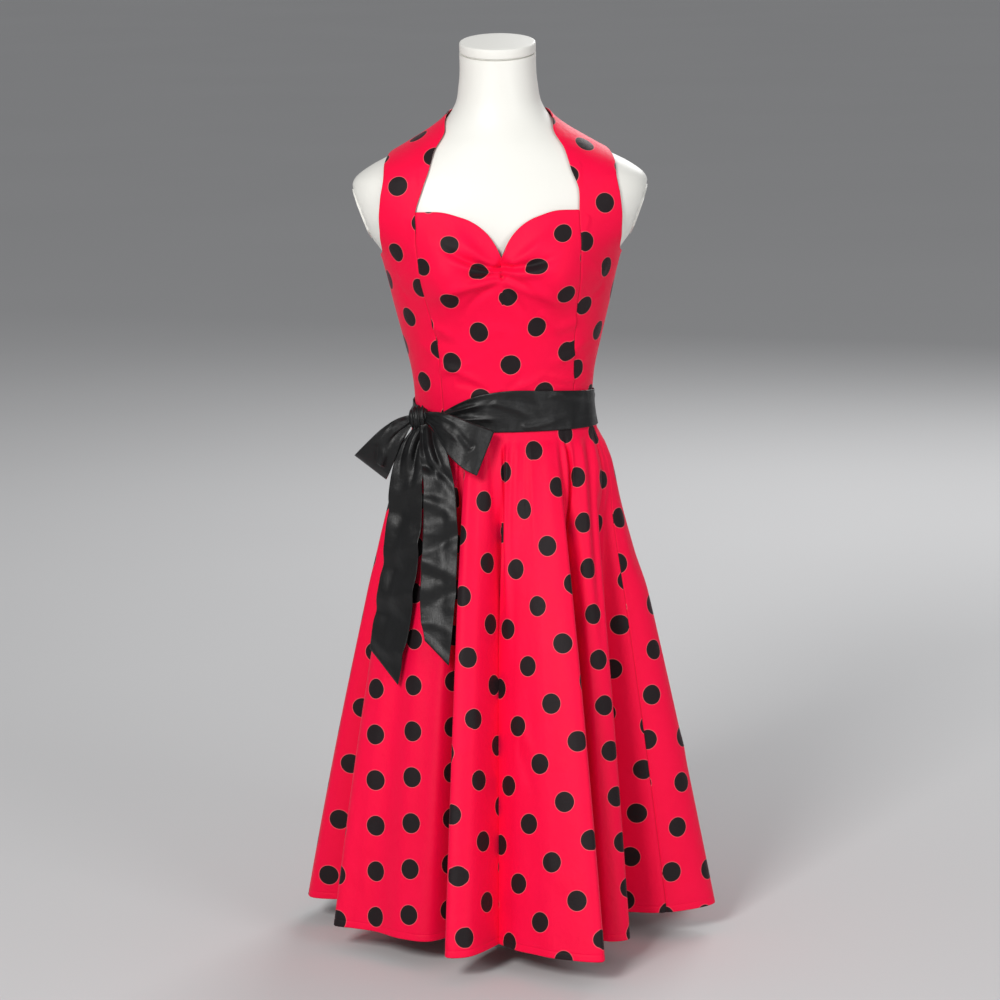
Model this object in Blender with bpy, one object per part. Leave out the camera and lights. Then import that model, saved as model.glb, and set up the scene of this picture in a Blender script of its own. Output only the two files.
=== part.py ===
"""A-line halter dress with a satin sash, standing on a low limbless dress form.

Metres, +Z up. The origin is the centre of the base's underside, on the floor. The front of the dress
faces -Y and its wearer's left is +X. Turns are degrees about the Z axis, from the centre front (0)
towards +X (90), the centre back (180) and -X (-90).

Every cloth piece is a wall between two grids of points, one on its outer and one on its inner face.
Both are worked out from the form's skin, or from the skirt's folds, and moved out along the normals.
"""
import math

import bmesh
import bpy
import numpy as np

# ---- driving sizes -------------------------------------------------------------------------------
GAP = 0.0003                 # left between pieces that touch
WALL = 0.0015                # the dress cloth with its seam allowances
SATIN = 0.0012               # the sash ribbon
EASE = 0.0028                # air between the form and the cloth that it carries
HEM = 0.035                  # height of the hem over the floor
WAIST = 0.708                # height of the seam between bodice and skirt
SASH_MIDDLE = 0.691          # height of the skirt's row under the sash
FLARE_START = 0.675          # just under the sash, where the skirt begins to spread
FLARE_POWER = 0.80           # under 1, so the spread curves over the hips
HIP_AIR = 0.006              # more air over the hips
HIP_LEVEL = 0.06             # share of the skirt's height in which that air grows
BACK_TOP = 0.868             # height of the bodice at the centre back
TORSO_FLOOR = 0.548          # underside of the torso, hidden in the skirt
NECK_TOP = 1.1705            # centre of the neck's slanting top
NECK_TILT = 9.3              # degrees that the neck's top leans forward
CAP_HEIGHT = 0.0150
CAP_RADIUS = 0.0497
CAP_GROOVE = 0.0025          # depth and height of the groove under the cap
CAP_RIM = 0.0030             # rounding of the cap's top edge
ROUND_CORNER = 0.3           # share of a rounding at which its middle point lies
POLE_RADIUS = 0.0125
BASE_RADIUS = 0.125
BASE_HEIGHT = 0.012
SOCKET_RADIUS = 0.024
SOCKET_HEIGHT = 0.020
STAND_EDGE = 0.003           # rounding of the stand's edges

# The form's level sections: half width, depths of front and back, squareness (2 is an ellipse).
BODY_COLUMNS = ("height", "half_width", "front", "back", "square")
BODY = (
    (0.548, 0.1290, 0.0930, 0.1000, 2.2),
    (0.600, 0.1340, 0.0960, 0.1060, 2.2),
    (0.650, 0.1250, 0.0900, 0.0960, 2.1),
    (0.690, 0.1155, 0.0850, 0.0840, 2.0),
    (0.715, 0.1130, 0.0840, 0.0800, 2.0),
    (0.755, 0.1160, 0.0860, 0.0830, 2.0),
    (0.800, 0.1262, 0.0920, 0.0900, 2.1),
    (0.850, 0.1385, 0.0970, 0.0970, 2.2),
    (0.890, 0.1478, 0.0990, 0.1010, 2.2),
    (0.912, 0.1545, 0.0995, 0.1025, 2.2),
    (0.940, 0.1740, 0.0985, 0.1030, 2.2),
    (0.970, 0.1890, 0.0940, 0.1010, 2.2),
    (0.995, 0.1935, 0.0880, 0.0960, 2.2),
    (1.012, 0.1880, 0.0830, 0.0910, 2.2),
    (1.026, 0.1690, 0.0780, 0.0850, 2.2),
    (1.042, 0.1380, 0.0720, 0.0790, 2.2),
    (1.058, 0.1100, 0.0660, 0.0720, 2.1),
    (1.072, 0.0870, 0.0600, 0.0660, 2.0),
    (1.086, 0.0690, 0.0550, 0.0600, 2.0),
    (1.104, 0.0570, 0.0515, 0.0550, 2.0),
    (1.130, 0.0515, 0.0498, 0.0515, 2.0),
    (1.190, 0.0500, 0.0495, 0.0500, 2.0),
)

# The bust is two soft mounds, which the cloth bridges between and pinches in at the centre.
BUST_SIDE = 0.078
BUST_HEIGHT = 0.893
BUST_DEPTH = 0.033
BUST_SPREAD = 0.046
BUST_ABOVE = 0.056
BUST_BELOW = 0.042
CUP_EASE = 0.0015            # more air over the bust
BRIDGE_DEPTH = 0.010
BRIDGE_SPREAD = 0.040
PINCH_HEIGHT = 0.900
PINCH_DEPTH = 0.006
PINCH_WIDTH = 0.022
PINCH_RISE = 0.014

# Each arm stump is cut by a plane through this point, which faces outward and a little down.
ARM_CUT_SIDE = 0.1880
ARM_CUT_HEIGHT = 0.9900
ARM_CUT_TILT = 20.0
ARM_CUT_FLOOR = 0.905        # the cut ends over this height, where its plane leaves the torso
ARM_PLATE = 0.0025           # thickness of the plate on the cut
ARM_PLATE_SHARE = 0.90       # size of the plate as a share of the cut

# Princess seams: how far each is from the centre front at each height.
PRINCESS_COLUMNS = ("height", "right", "left")
PRINCESS = (
    (0.690, 0.0765, 0.0880),
    (0.735, 0.0780, 0.0890),
    (0.800, 0.0830, 0.0910),
    (0.835, 0.0900, 0.0935),
    (0.870, 0.0990, 0.0970),
    (0.905, 0.1050, 0.1000),
    (0.972, 0.1085, 0.1005),
)

# Sweetheart neckline: the cup edge's height on the way from the centre front to the princess seam.
NECKLINE_COLUMNS = ("share", "height")
NECKLINE = (
    (0.00, 0.9150),
    (0.06, 0.9270),
    (0.15, 0.9400),
    (0.28, 0.9520),
    (0.42, 0.9605),
    (0.58, 0.9665),
    (0.75, 0.9715),
    (1.00, 0.9720),
)

# Side front below the strap: the princess seam's height beside the outer edge's turn and height.
SIDE_COLUMNS = ("seam_height", "outer_turn", "outer_height")
SIDE = (
    (0.708, 90.0, 0.708),
    (0.750, 90.0, 0.748),
    (0.800, 90.0, 0.792),
    (0.850, 90.0, 0.832),
    (0.890, 90.0, 0.868),
    (0.925, 90.0, 0.905),
    (0.950, 77.0, 0.920),
    (0.972, 71.5, 0.942),
)

UNDERARM_ROW = 5             # the row at which the side seam ends
SIDE_SEAM_TURN = 90.0

# Strap, cut in one with the side front, from the neckline's corner over the shoulder to the nape.
STRAP_COLUMNS = ("inner_turn", "inner_height", "outer_turn", "outer_height")
STRAP = (
    (52.5, 0.998, 69.5, 0.968),
    (52.5, 1.022, 69.0, 0.992),
    (56.0, 1.047, 70.5, 1.015),
    (62.0, 1.072, 79.0, 1.034),
    (90.0, 1.091, 92.0, 1.0425),
    (120.0, 1.095, 118.0, 1.050),
    (150.0, 1.096, 147.0, 1.062),
    (171.0, 1.095, 171.0, 1.068),
)
NAPE_LAP = 9.0               # turn past the centre back at which each strap ends
LAP_ROWS = 3                 # rows of cloth in that lap
LAP_RISE = (150.0, 168.0)    # turns between which the upper strap rises over the lower one

# The skirt's folds at the hem: each is a ridge, from one turn and reach to another, then a trough.
# The last two columns are where the ridge's two sides start on the waist.
FOLD_COLUMNS = ("from_turn", "from_reach", "to_turn", "to_reach",
                "trough_turn", "trough_reach", "from_waist", "to_waist")
FOLDS = (
    (-192.0, 0.264, -168.0, 0.262, -161.0, 0.172, -189.0, -171.0),
    (-154.0, 0.270, -138.0, 0.262, -129.0, 0.166, -159.0, -141.0),
    (-117.0, 0.264, -93.0, 0.277, -82.0, 0.142, -124.0, -98.0),
    (-63.0, 0.268, -57.0, 0.253, -49.9, 0.240, -80.0, -68.0),
    (-38.2, 0.241, -28.0, 0.232, -12.5, 0.108, -54.0, -39.0),
    (-17.8, 0.289, -11.8, 0.281, 6.5, 0.146, -31.0, -19.0),
    (-8.0, 0.196, -1.0, 0.243, 5.5, 0.271, 1.5, 12.0),
    (10.4, 0.294, 20.6, 0.327, 25.0, 0.118, 23.0, 40.0),
    (29.3, 0.250, 36.2, 0.258, 51.0, 0.128, 56.0, 70.0),
    (66.0, 0.226, 80.5, 0.277, 97.0, 0.168, 80.0, 98.0),
    (106.0, 0.262, 120.0, 0.268, 129.0, 0.166, 113.0, 128.0),
    (137.0, 0.266, 152.0, 0.262, 160.0, 0.172, 140.0, 157.0),
)
FOLD_STEPS = 4               # columns of cloth between two turning points of the hem
RIGHT_SEAM = 3 * 2 + 2       # turning point with the wearer's right side seam: a trough
LEFT_SEAM = 3 * 9            # turning point with the wearer's left side seam: a ridge's start
SKIRT_LEVELS = (0.0, 0.06, 0.17, 0.34, 0.56, 0.78, 1.0)

# The sash, round the waist from the knot by the front and back to the knot.
SASH_COLUMNS = ("turn", "top", "bottom")
SASH = (
    (-51.0, 0.7090, 0.6860),
    (-40.0, 0.7200, 0.6840),
    (-24.0, 0.7320, 0.6845),
    (-6.0, 0.7380, 0.6850),
    (40.0, 0.7370, 0.6840),
    (90.0, 0.7270, 0.6800),
    (180.0, 0.7230, 0.6770),
    (250.0, 0.7200, 0.6780),
    (282.0, 0.7130, 0.6840),
    (297.0, 0.7070, 0.6870),
)
SASH_LIFT = 0.0010           # air between the dress and the sash

# The bow: each ribbon is rows of its two edges, from the knot outward.
KNOT_CENTRE = (-0.1110, -0.0720, 0.7035)
KNOT_RADII = (0.0135, 0.0110, 0.0160)
RIBBON_COLUMNS = ("one_x", "one_y", "one_z", "other_x", "other_y", "other_z")
BOW_LOOP_RIGHT = (
    (-0.1270, -0.0730, 0.7080, -0.1262, -0.0730, 0.6950),
    (-0.1400, -0.0810, 0.7030, -0.1330, -0.0790, 0.6760),
    (-0.1590, -0.0850, 0.6920, -0.1440, -0.0810, 0.6500),
    (-0.1800, -0.0790, 0.6720, -0.1510, -0.0750, 0.6320),
    (-0.1960, -0.0640, 0.6540, -0.1560, -0.0600, 0.6210),
    (-0.1800, -0.0510, 0.6680, -0.1490, -0.0470, 0.6340),
    (-0.1560, -0.0480, 0.6860, -0.1390, -0.0460, 0.6560),
    (-0.1300, -0.0590, 0.6990, -0.1280, -0.0590, 0.6880),
)
BOW_LOOP_LEFT = (
    (-0.0950, -0.0830, 0.7120, -0.0955, -0.0840, 0.6990),
    (-0.0830, -0.1010, 0.7150, -0.0880, -0.1030, 0.6840),
    (-0.0600, -0.1140, 0.7090, -0.0720, -0.1220, 0.6620),
    (-0.0350, -0.1190, 0.6990, -0.0540, -0.1330, 0.6460),
    (-0.0135, -0.1130, 0.6900, -0.0366, -0.1340, 0.6370),
    (-0.0330, -0.1030, 0.6970, -0.0530, -0.1240, 0.6470),
    (-0.0580, -0.0980, 0.7040, -0.0700, -0.1130, 0.6630),
    (-0.0900, -0.0780, 0.7080, -0.0910, -0.0790, 0.6970),
)
BOW_TAIL_RIGHT = (
    (-0.1215, -0.0760, 0.6850, -0.1110, -0.0790, 0.6835),
    (-0.1360, -0.0780, 0.6680, -0.1060, -0.0880, 0.6620),
    (-0.1490, -0.0790, 0.6270, -0.1070, -0.0980, 0.6240),
    (-0.1565, -0.0780, 0.5665, -0.1110, -0.1050, 0.5650),
    (-0.1655, -0.0780, 0.5000, -0.1180, -0.1170, 0.5030),
    (-0.1730, -0.0780, 0.4590, -0.1280, -0.1210, 0.4370),
    (-0.1820, -0.0770, 0.3980, -0.1450, -0.1260, 0.3600),
)
BOW_TAIL_LEFT = (
    (-0.1085, -0.0840, 0.6850, -0.0985, -0.0850, 0.6880),
    (-0.1110, -0.0980, 0.6650, -0.0790, -0.1020, 0.6720),
    (-0.1060, -0.1130, 0.6270, -0.0690, -0.1180, 0.6350),
    (-0.1060, -0.1230, 0.5900, -0.0640, -0.1310, 0.5900),
    (-0.1090, -0.1340, 0.5350, -0.0642, -0.1450, 0.5340),
    (-0.1130, -0.1450, 0.4700, -0.0693, -0.1600, 0.4657),
    (-0.1080, -0.1560, 0.4250, -0.0775, -0.1720, 0.3950),
)

# The concealed zip at the centre back: its tape, slider and pull.
ZIP_TAPE_WIDTH = 0.020
ZIP_TAPE = 0.0008
ZIP_LEVELS = 3               # rows of the skirt that the zip runs down
ZIP_DROP = 0.002             # from the back's edge to the tape's end
ZIP_CLEARANCE = 0.0007
ZIP_TAPE_BOW = 0.0006        # how far the tape's edges curve back
SLIDER_HEIGHT = 0.856
SLIDER_WIDTH = 0.0060
SLIDER_LENGTH = 0.0100
SLIDER_PLATE = 0.0020
SLIDER_EDGE = 0.0004
ARCH_WIDTH = 0.0018
ARCH_LENGTH = 0.0070
ARCH_OPENING = 0.0024
ARCH_BAR = 0.0012
ARCH_SINK = 0.0005           # how far the arch's feet run into the plate
PULL_WIDTH = 0.0064
PULL_END_WIDTH = 0.0054
PULL_LENGTH = 0.0220
PULL_BAR = 0.0012
PULL_WINDOW = 0.0055

BUTTON_RADIUS = 0.0070
BUTTON_HEIGHT = 0.0035
BUTTON_EDGE = 0.0012
BUTTON_SEAT = 0.0004         # air between the button and the strap

FORM_SIDES = 40              # columns of the torso's rings
ROW_STEPS = 2                # rows of cloth for each row of a panel's table

# ---- materials -----------------------------------------------------------------------------------
CRIMSON = (0.72, 0.004, 0.035)
BLACK_SATIN = (0.012, 0.012, 0.013)
WARM_WHITE = (0.86, 0.85, 0.82)
STAND_GREY = (0.42, 0.42, 0.43)
STEEL = (0.55, 0.55, 0.56)


def material(name, colour, roughness, metallic=0.0):
    """A Principled material of one colour."""
    made = bpy.data.materials.new(name)
    made.use_nodes = True
    shader = made.node_tree.nodes["Principled BSDF"]
    shader.inputs["Base Color"].default_value = (*colour, 1.0)
    shader.inputs["Roughness"].default_value = roughness
    shader.inputs["Metallic"].default_value = metallic
    made.diffuse_color = (*colour, 1.0)
    return made


# ---- tables and curves ---------------------------------------------------------------------------
def column(table, names, name):
    """One named column of a table, as an array."""
    return np.array([row[names.index(name)] for row in table], dtype=float)


def smooth_read(knots, values, where):
    """Values read between a table's rows along a cubic that passes through every row."""
    slopes = np.gradient(values, knots)
    where = np.clip(where, knots[0], knots[-1])
    row = np.clip(np.searchsorted(knots, where, side="right") - 1, 0, len(knots) - 2)
    span = knots[row + 1] - knots[row]
    t = (where - knots[row]) / span
    start = (1 + 2 * t) * (1 - t) ** 2 * values[row] + t * (1 - t) ** 2 * span * slopes[row]
    finish = t * t * (3 - 2 * t) * values[row + 1] + t * t * (t - 1) * span * slopes[row + 1]
    return start + finish


def read(table, names, name, where):
    """A named column of a table at any value of the table's first column."""
    knots = column(table, names, names[0])
    return smooth_read(knots, column(table, names, name), np.asarray(where, dtype=float))


def spline_rows(rows, steps):
    """Rows of a table with smooth rows added between them: steps rows for each gap."""
    rows = np.asarray(rows, dtype=float)
    knots = np.arange(len(rows), dtype=float)
    where = np.linspace(0, len(rows) - 1, (len(rows) - 1) * steps + 1)
    return np.stack([smooth_read(knots, rows[:, i], where) for i in range(rows.shape[1])], axis=1)


def closed_spline(points, steps):
    """A closed curve through the points, centripetal so that it never loops between near ones."""
    before = np.roll(points, 1, axis=0)
    after = np.roll(points, -1, axis=0)
    beyond = np.roll(points, -2, axis=0)
    t0 = np.zeros(len(points))
    t1 = t0 + np.linalg.norm(points - before, axis=1) ** 0.5
    t2 = t1 + np.linalg.norm(after - points, axis=1) ** 0.5
    t3 = t2 + np.linalg.norm(beyond - after, axis=1) ** 0.5
    pieces = []
    for step in range(steps):
        t = t1 + (t2 - t1) * step / steps

        def blend(p, q, a, b):
            return (((b - t) / (b - a))[:, None] * p) + (((t - a) / (b - a))[:, None] * q)

        a1 = blend(before, points, t0, t1)
        a2 = blend(points, after, t1, t2)
        a3 = blend(after, beyond, t2, t3)
        b1 = blend(a1, a2, t0, t2)
        b2 = blend(a2, a3, t1, t3)
        pieces.append(blend(b1, b2, t1, t2))
    return np.stack(pieces, axis=1).reshape(-1, points.shape[1])


def grid_normals(grid, closed=False):
    """Unit normals of a grid of points, from its neighbours along rows and columns."""
    if closed:
        across = np.roll(grid, -1, axis=1) - np.roll(grid, 1, axis=1)
    else:
        across = np.gradient(grid, axis=1)
    along = np.gradient(grid, axis=0)
    normal = np.cross(across, along)
    return normal / np.linalg.norm(normal, axis=-1, keepdims=True)


# ---- the form's skin and the cloth over it -------------------------------------------------------
def bust(x, height):
    """The two mounds of the bust, 1 at their tops."""
    rise = np.where(height > BUST_HEIGHT, BUST_ABOVE, BUST_BELOW)
    level = np.exp(-((height - BUST_HEIGHT) / rise) ** 2)
    one = np.exp(-((x - BUST_SIDE) / BUST_SPREAD) ** 2)
    other = np.exp(-((x + BUST_SIDE) / BUST_SPREAD) ** 2)
    return level * (one + other)


def cloth_bridge(x, height):
    """How far the cloth spans out between the mounds, less its pinch at the centre."""
    rise = np.where(height > BUST_HEIGHT, BUST_ABOVE, BUST_BELOW)
    span = BRIDGE_DEPTH * np.exp(-(x / BRIDGE_SPREAD) ** 2 - ((height - BUST_HEIGHT) / rise) ** 2)
    pinch = PINCH_DEPTH * np.exp(-(x / PINCH_WIDTH) ** 2 - ((height - PINCH_HEIGHT) / PINCH_RISE) ** 2)
    return span - pinch


def section_radius(turn, height):
    """Distance of the plain section from the axis, at a turn in degrees."""
    angle = np.radians(turn)
    half_width = read(BODY, BODY_COLUMNS, "half_width", height)
    front = read(BODY, BODY_COLUMNS, "front", height)
    back = read(BODY, BODY_COLUMNS, "back", height)
    square = read(BODY, BODY_COLUMNS, "square", height)
    depth = np.where(np.cos(angle) > 0, front, back)
    wide = (np.abs(np.sin(angle)) / half_width) ** square
    deep = (np.abs(np.cos(angle)) / depth) ** square
    return (wide + deep) ** (-1 / square)


def skin(turn, height, bridged=False):
    """Points on the form, or with bridged on the smoother surface that the cloth follows."""
    turn, height = np.broadcast_arrays(np.asarray(turn, dtype=float), np.asarray(height, dtype=float))
    radius = section_radius(turn, height)
    angle = np.radians(turn)
    x = radius * np.sin(angle)
    frontal = np.clip(np.cos(angle), 0, 1) ** 0.5
    if bridged:
        out = (BUST_DEPTH + CUP_EASE) * bust(x, height) + cloth_bridge(x, height)
    else:
        out = BUST_DEPTH * bust(x, height)
    return np.stack([x, -radius * np.cos(angle) - out * frontal, height], axis=-1)


def skin_normal(turn, height):
    """Outward unit normals of the surface that the cloth follows."""
    turn_step = 0.2
    height_step = 0.0005
    across = skin(turn + turn_step, height, True) - skin(turn - turn_step, height, True)
    along = skin(turn, height + height_step, True) - skin(turn, height - height_step, True)
    normal = np.cross(across, along)
    return normal / np.linalg.norm(normal, axis=-1, keepdims=True)


def over_skin(turn, height, out):
    """Points on the cloth's surface moved out along its normals."""
    turn, height = np.broadcast_arrays(np.asarray(turn, dtype=float), np.asarray(height, dtype=float))
    return skin(turn, height, True) + out * skin_normal(turn, height)


def front_turn(x, height):
    """The turn at which the front of the form is x from the centre."""
    half_width = read(BODY, BODY_COLUMNS, "half_width", height)
    front = read(BODY, BODY_COLUMNS, "front", height)
    square = read(BODY, BODY_COLUMNS, "square", height)
    depth = front * (1 - (np.abs(x) / half_width) ** square) ** (1 / square)
    return np.degrees(np.arctan2(x, depth))


# ---- making solids -------------------------------------------------------------------------------
def new_object(name, mesh, finish, smooth=True):
    """Put a mesh in the scene with its material."""
    mesh.materials.append(finish)
    made = bpy.data.objects.new(name, mesh)
    bpy.context.scene.collection.objects.link(made)
    if smooth:
        mesh.shade_smooth()
        mesh.set_sharp_from_angle(angle=math.radians(40))
    return made


def from_bmesh(name, shape, finish, smooth=True):
    """Close a bmesh into an object whose faces point out."""
    bmesh.ops.recalc_face_normals(shape, faces=shape.faces)
    mesh = bpy.data.meshes.new(name)
    shape.to_mesh(mesh)
    shape.free()
    return new_object(name, mesh, finish, smooth)


def wall(name, outer, inner, finish):
    """A closed wall between two grids of points of the same rows and columns."""
    rows, columns = outer.shape[:2]
    count = rows * columns
    index = np.arange(count).reshape(rows, columns)
    here, right = index[:-1, :-1].ravel(), index[:-1, 1:].ravel()
    above, far = index[1:, :-1].ravel(), index[1:, 1:].ravel()
    outside = np.stack([here, right, far, above], axis=1)
    inside = outside[:, ::-1] + count
    rim = np.concatenate([index[0, :-1], index[:-1, -1], index[-1, :0:-1], index[:0:-1, 0]])
    following = np.roll(rim, -1)
    edge = np.stack([following, rim, rim + count, following + count], axis=1)
    points = np.concatenate([outer.reshape(-1, 3), inner.reshape(-1, 3)])
    faces = np.concatenate([outside, inside, edge])
    mesh = bpy.data.meshes.new(name)
    mesh.from_pydata(points.tolist(), [], faces.tolist())
    shape = bmesh.new()
    shape.from_mesh(mesh)
    bmesh.ops.triangulate(shape, faces=shape.faces)
    bpy.data.meshes.remove(mesh)
    return from_bmesh(name, shape, finish)


def turned(name, profile, finish, sides=40):
    """A solid turned about the Z axis from a profile of radius and height, bottom to top."""
    shape = bmesh.new()
    corners = [shape.verts.new((radius, 0.0, height)) for radius, height in profile]
    lines = [shape.edges.new(pair) for pair in zip(corners, corners[1:])]
    bmesh.ops.spin(shape, geom=corners + lines, cent=(0, 0, 0), axis=(0, 0, 1),
                   angle=math.tau, steps=sides, use_merge=True)
    bmesh.ops.remove_doubles(shape, verts=shape.verts, dist=1e-6)
    bmesh.ops.holes_fill(shape, edges=shape.edges, sides=0)
    return from_bmesh(name, shape, finish)


def block(name, size, centre, finish, bevel=0.0):
    """A box of a size about a centre, its edges bevelled."""
    shape = bmesh.new()
    bmesh.ops.create_cube(shape, size=1.0)
    bmesh.ops.scale(shape, vec=size, verts=shape.verts)
    if bevel:
        bmesh.ops.bevel(shape, geom=shape.edges[:], offset=bevel, segments=2, affect="EDGES")
    bmesh.ops.translate(shape, vec=centre, verts=shape.verts)
    return from_bmesh(name, shape, finish, smooth=False)


# ---- the dress form ------------------------------------------------------------------------------
def ring_heights():
    """Heights of the torso's rings: the table's rows, and one between rows that are far apart."""
    rows = column(BODY, BODY_COLUMNS, "height")
    middles = (rows[1:] + rows[:-1]) / 2
    return np.sort(np.concatenate([rows, middles[np.diff(rows) > 0.025]]))


def cut_flat(shape, point, normal, floor):
    """Cut away what lies past a plane and over a floor, and close the cut with one flat face."""
    faces = [face for face in shape.faces if min(corner.co.z for corner in face.verts) > floor]
    edges = {edge for face in faces for edge in face.edges}
    corners = {corner for face in faces for corner in face.verts}
    geometry = list(corners) + list(edges) + faces
    cut = bmesh.ops.bisect_plane(shape, geom=geometry, plane_co=point, plane_no=normal,
                                 clear_outer=True, dist=1e-6)
    rim = [item for item in cut["geom_cut"] if isinstance(item, bmesh.types.BMEdge)]
    face = bmesh.ops.contextual_create(shape, geom=rim)["faces"][0]
    return [corner.co.copy() for corner in face.verts]


def arm_plane(side):
    """Point and normal of an arm's cut: side is 1 for the wearer's left and -1 for the right."""
    tilt = math.radians(ARM_CUT_TILT)
    return (side * ARM_CUT_SIDE, 0.0, ARM_CUT_HEIGHT), (side * math.cos(tilt), 0.0, -math.sin(tilt))


def arm_plate(name, outline, normal, finish):
    """A thin plate on an arm's cut, of the cut's own outline a little smaller."""
    outline = np.array(outline)
    normal = np.array(normal)
    middle = outline.mean(axis=0)
    inner = middle + (outline - middle) * ARM_PLATE_SHARE + normal * GAP
    shape = bmesh.new()
    face = shape.faces.new([shape.verts.new(point) for point in inner])
    grown = bmesh.ops.extrude_face_region(shape, geom=[face])["geom"]
    bmesh.ops.translate(shape, vec=normal * ARM_PLATE,
                        verts=[item for item in grown if isinstance(item, bmesh.types.BMVert)])
    return from_bmesh(name, shape, finish, smooth=False)


def build_form(finish):
    """Torso, neck cap and arm plates."""
    turns = np.linspace(0, 360, FORM_SIDES, endpoint=False)
    heights = ring_heights()
    grid = skin(turns[None, :], heights[:, None])
    shape = bmesh.new()
    rings = [[shape.verts.new(point) for point in row] for row in grid]
    for low, high in zip(rings, rings[1:]):
        for i in range(len(low)):
            shape.faces.new((low[i - 1], low[i], high[i], high[i - 1]))
    shape.faces.new(rings[0][::-1])
    shape.faces.new(rings[-1])
    outlines = [cut_flat(shape, *arm_plane(side), ARM_CUT_FLOOR) for side in (1, -1)]
    tilt = math.radians(NECK_TILT)
    cut_flat(shape, (0.0, 0.0, NECK_TOP), (0.0, -math.sin(tilt), math.cos(tilt)), ARM_CUT_FLOOR)
    bmesh.ops.remove_doubles(shape, verts=shape.verts, dist=0.0002)
    bmesh.ops.triangulate(shape, faces=shape.faces)
    from_bmesh("form_torso", shape, finish)
    for name, side, outline in zip(("arm_plate_left", "arm_plate_right"), (1, -1), outlines):
        arm_plate(name, outline, arm_plane(side)[1], finish)
    groove = CAP_RADIUS - CAP_GROOVE
    shoulder = CAP_RIM * ROUND_CORNER
    cap = turned("neck_cap", ((0, 0), (groove, 0), (groove, CAP_GROOVE * 0.6), (CAP_RADIUS, CAP_GROOVE),
                              (CAP_RADIUS, CAP_HEIGHT - CAP_RIM),
                              (CAP_RADIUS - shoulder, CAP_HEIGHT - shoulder),
                              (CAP_RADIUS - CAP_RIM, CAP_HEIGHT), (0, CAP_HEIGHT)), finish)
    cap.rotation_euler.x = tilt
    cap.location = (0.0, -GAP * math.sin(tilt), NECK_TOP + GAP * math.cos(tilt))


def build_stand(finish):
    """Socket under the torso, pole and round base."""
    foot = TORSO_FLOOR - GAP - SOCKET_HEIGHT
    edge = STAND_EDGE
    turned("pole_socket", ((0, foot), (SOCKET_RADIUS - edge, foot), (SOCKET_RADIUS, foot + edge),
                           (SOCKET_RADIUS, foot + SOCKET_HEIGHT), (0, foot + SOCKET_HEIGHT)), finish, 32)
    turned("stand_pole", ((0, BASE_HEIGHT + GAP), (POLE_RADIUS, BASE_HEIGHT + GAP),
                          (POLE_RADIUS, foot - GAP), (0, foot - GAP)), finish, 24)
    shoulder = edge * ROUND_CORNER
    turned("stand_base", ((0, 0), (BASE_RADIUS - edge / 2, 0), (BASE_RADIUS, edge / 2),
                          (BASE_RADIUS, BASE_HEIGHT - edge), (BASE_RADIUS - shoulder, BASE_HEIGHT - shoulder),
                          (BASE_RADIUS - edge, BASE_HEIGHT), (0, BASE_HEIGHT)), finish, 56)


# ---- the bodice ----------------------------------------------------------------------------------
def cloth_on_skin(name, turn, height, finish, lift=0.0):
    """A panel over the form: a wall between the cloth's inner and outer faces."""
    outer = over_skin(turn, height, EASE + WALL + lift)
    inner = over_skin(turn, height, EASE + lift)
    return wall(name, outer, inner, finish)


def inset_edges(turn, height):
    """Draw a panel's two long edges in by half a seam's gap, along its rows."""
    turn = turn.copy()
    for edge, inner in ((0, 1), (-1, -2)):
        width = np.linalg.norm(over_skin(turn[:, inner], height[:, inner], EASE)
                               - over_skin(turn[:, edge], height[:, edge], EASE), axis=1)
        turn[:, edge] += (turn[:, inner] - turn[:, edge]) * (GAP / 2) / width
    return turn


def princess_turn(side_name, height):
    """Turn of a princess seam, negative on the wearer's right."""
    x = read(PRINCESS, PRINCESS_COLUMNS, side_name, height)
    return front_turn(x if side_name == "left" else -x, height)


def shared_rise(seam_height):
    """Share of the way up that each row of a seam is, for the panel on the seam's other side."""
    return ((seam_height - seam_height[0]) / (seam_height[-1] - seam_height[0]))[:, None]


def build_front_centre(finish):
    """The panel between the princess seams, with its sweetheart edge and pinched centre."""
    rows = ROW_STEPS * (len(SIDE) - 1) + 1
    left = side_front_rows("left")[:rows]
    right = side_front_rows("right")[:rows]
    share = np.linspace(-1, 1, 13)[None, :]
    top = read(NECKLINE, NECKLINE_COLUMNS, "height", np.abs(share))
    height = left[0, 1] + shared_rise(left[:, 1]) * (top - left[0, 1])
    turn = np.where(share > 0, share * left[:, :1], share * right[:, :1])
    cloth_on_skin("front_centre", inset_edges(turn, height), height, finish)


def side_front_rows(side_name):
    """Edges of a side front with its strap, from waist to nape: inner and outer turn and height."""
    seam = column(SIDE, SIDE_COLUMNS, "seam_height")
    low = np.stack([np.abs(princess_turn(side_name, seam)), seam,
                    column(SIDE, SIDE_COLUMNS, "outer_turn"),
                    column(SIDE, SIDE_COLUMNS, "outer_height")], axis=1)
    rows = np.concatenate([low, np.array(STRAP)])
    rows[0, 1::2] += GAP / 2
    rows = spline_rows(rows, ROW_STEPS)
    rows[:ROW_STEPS * UNDERARM_ROW + 1, 2] = SIDE_SEAM_TURN
    return rows


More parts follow.
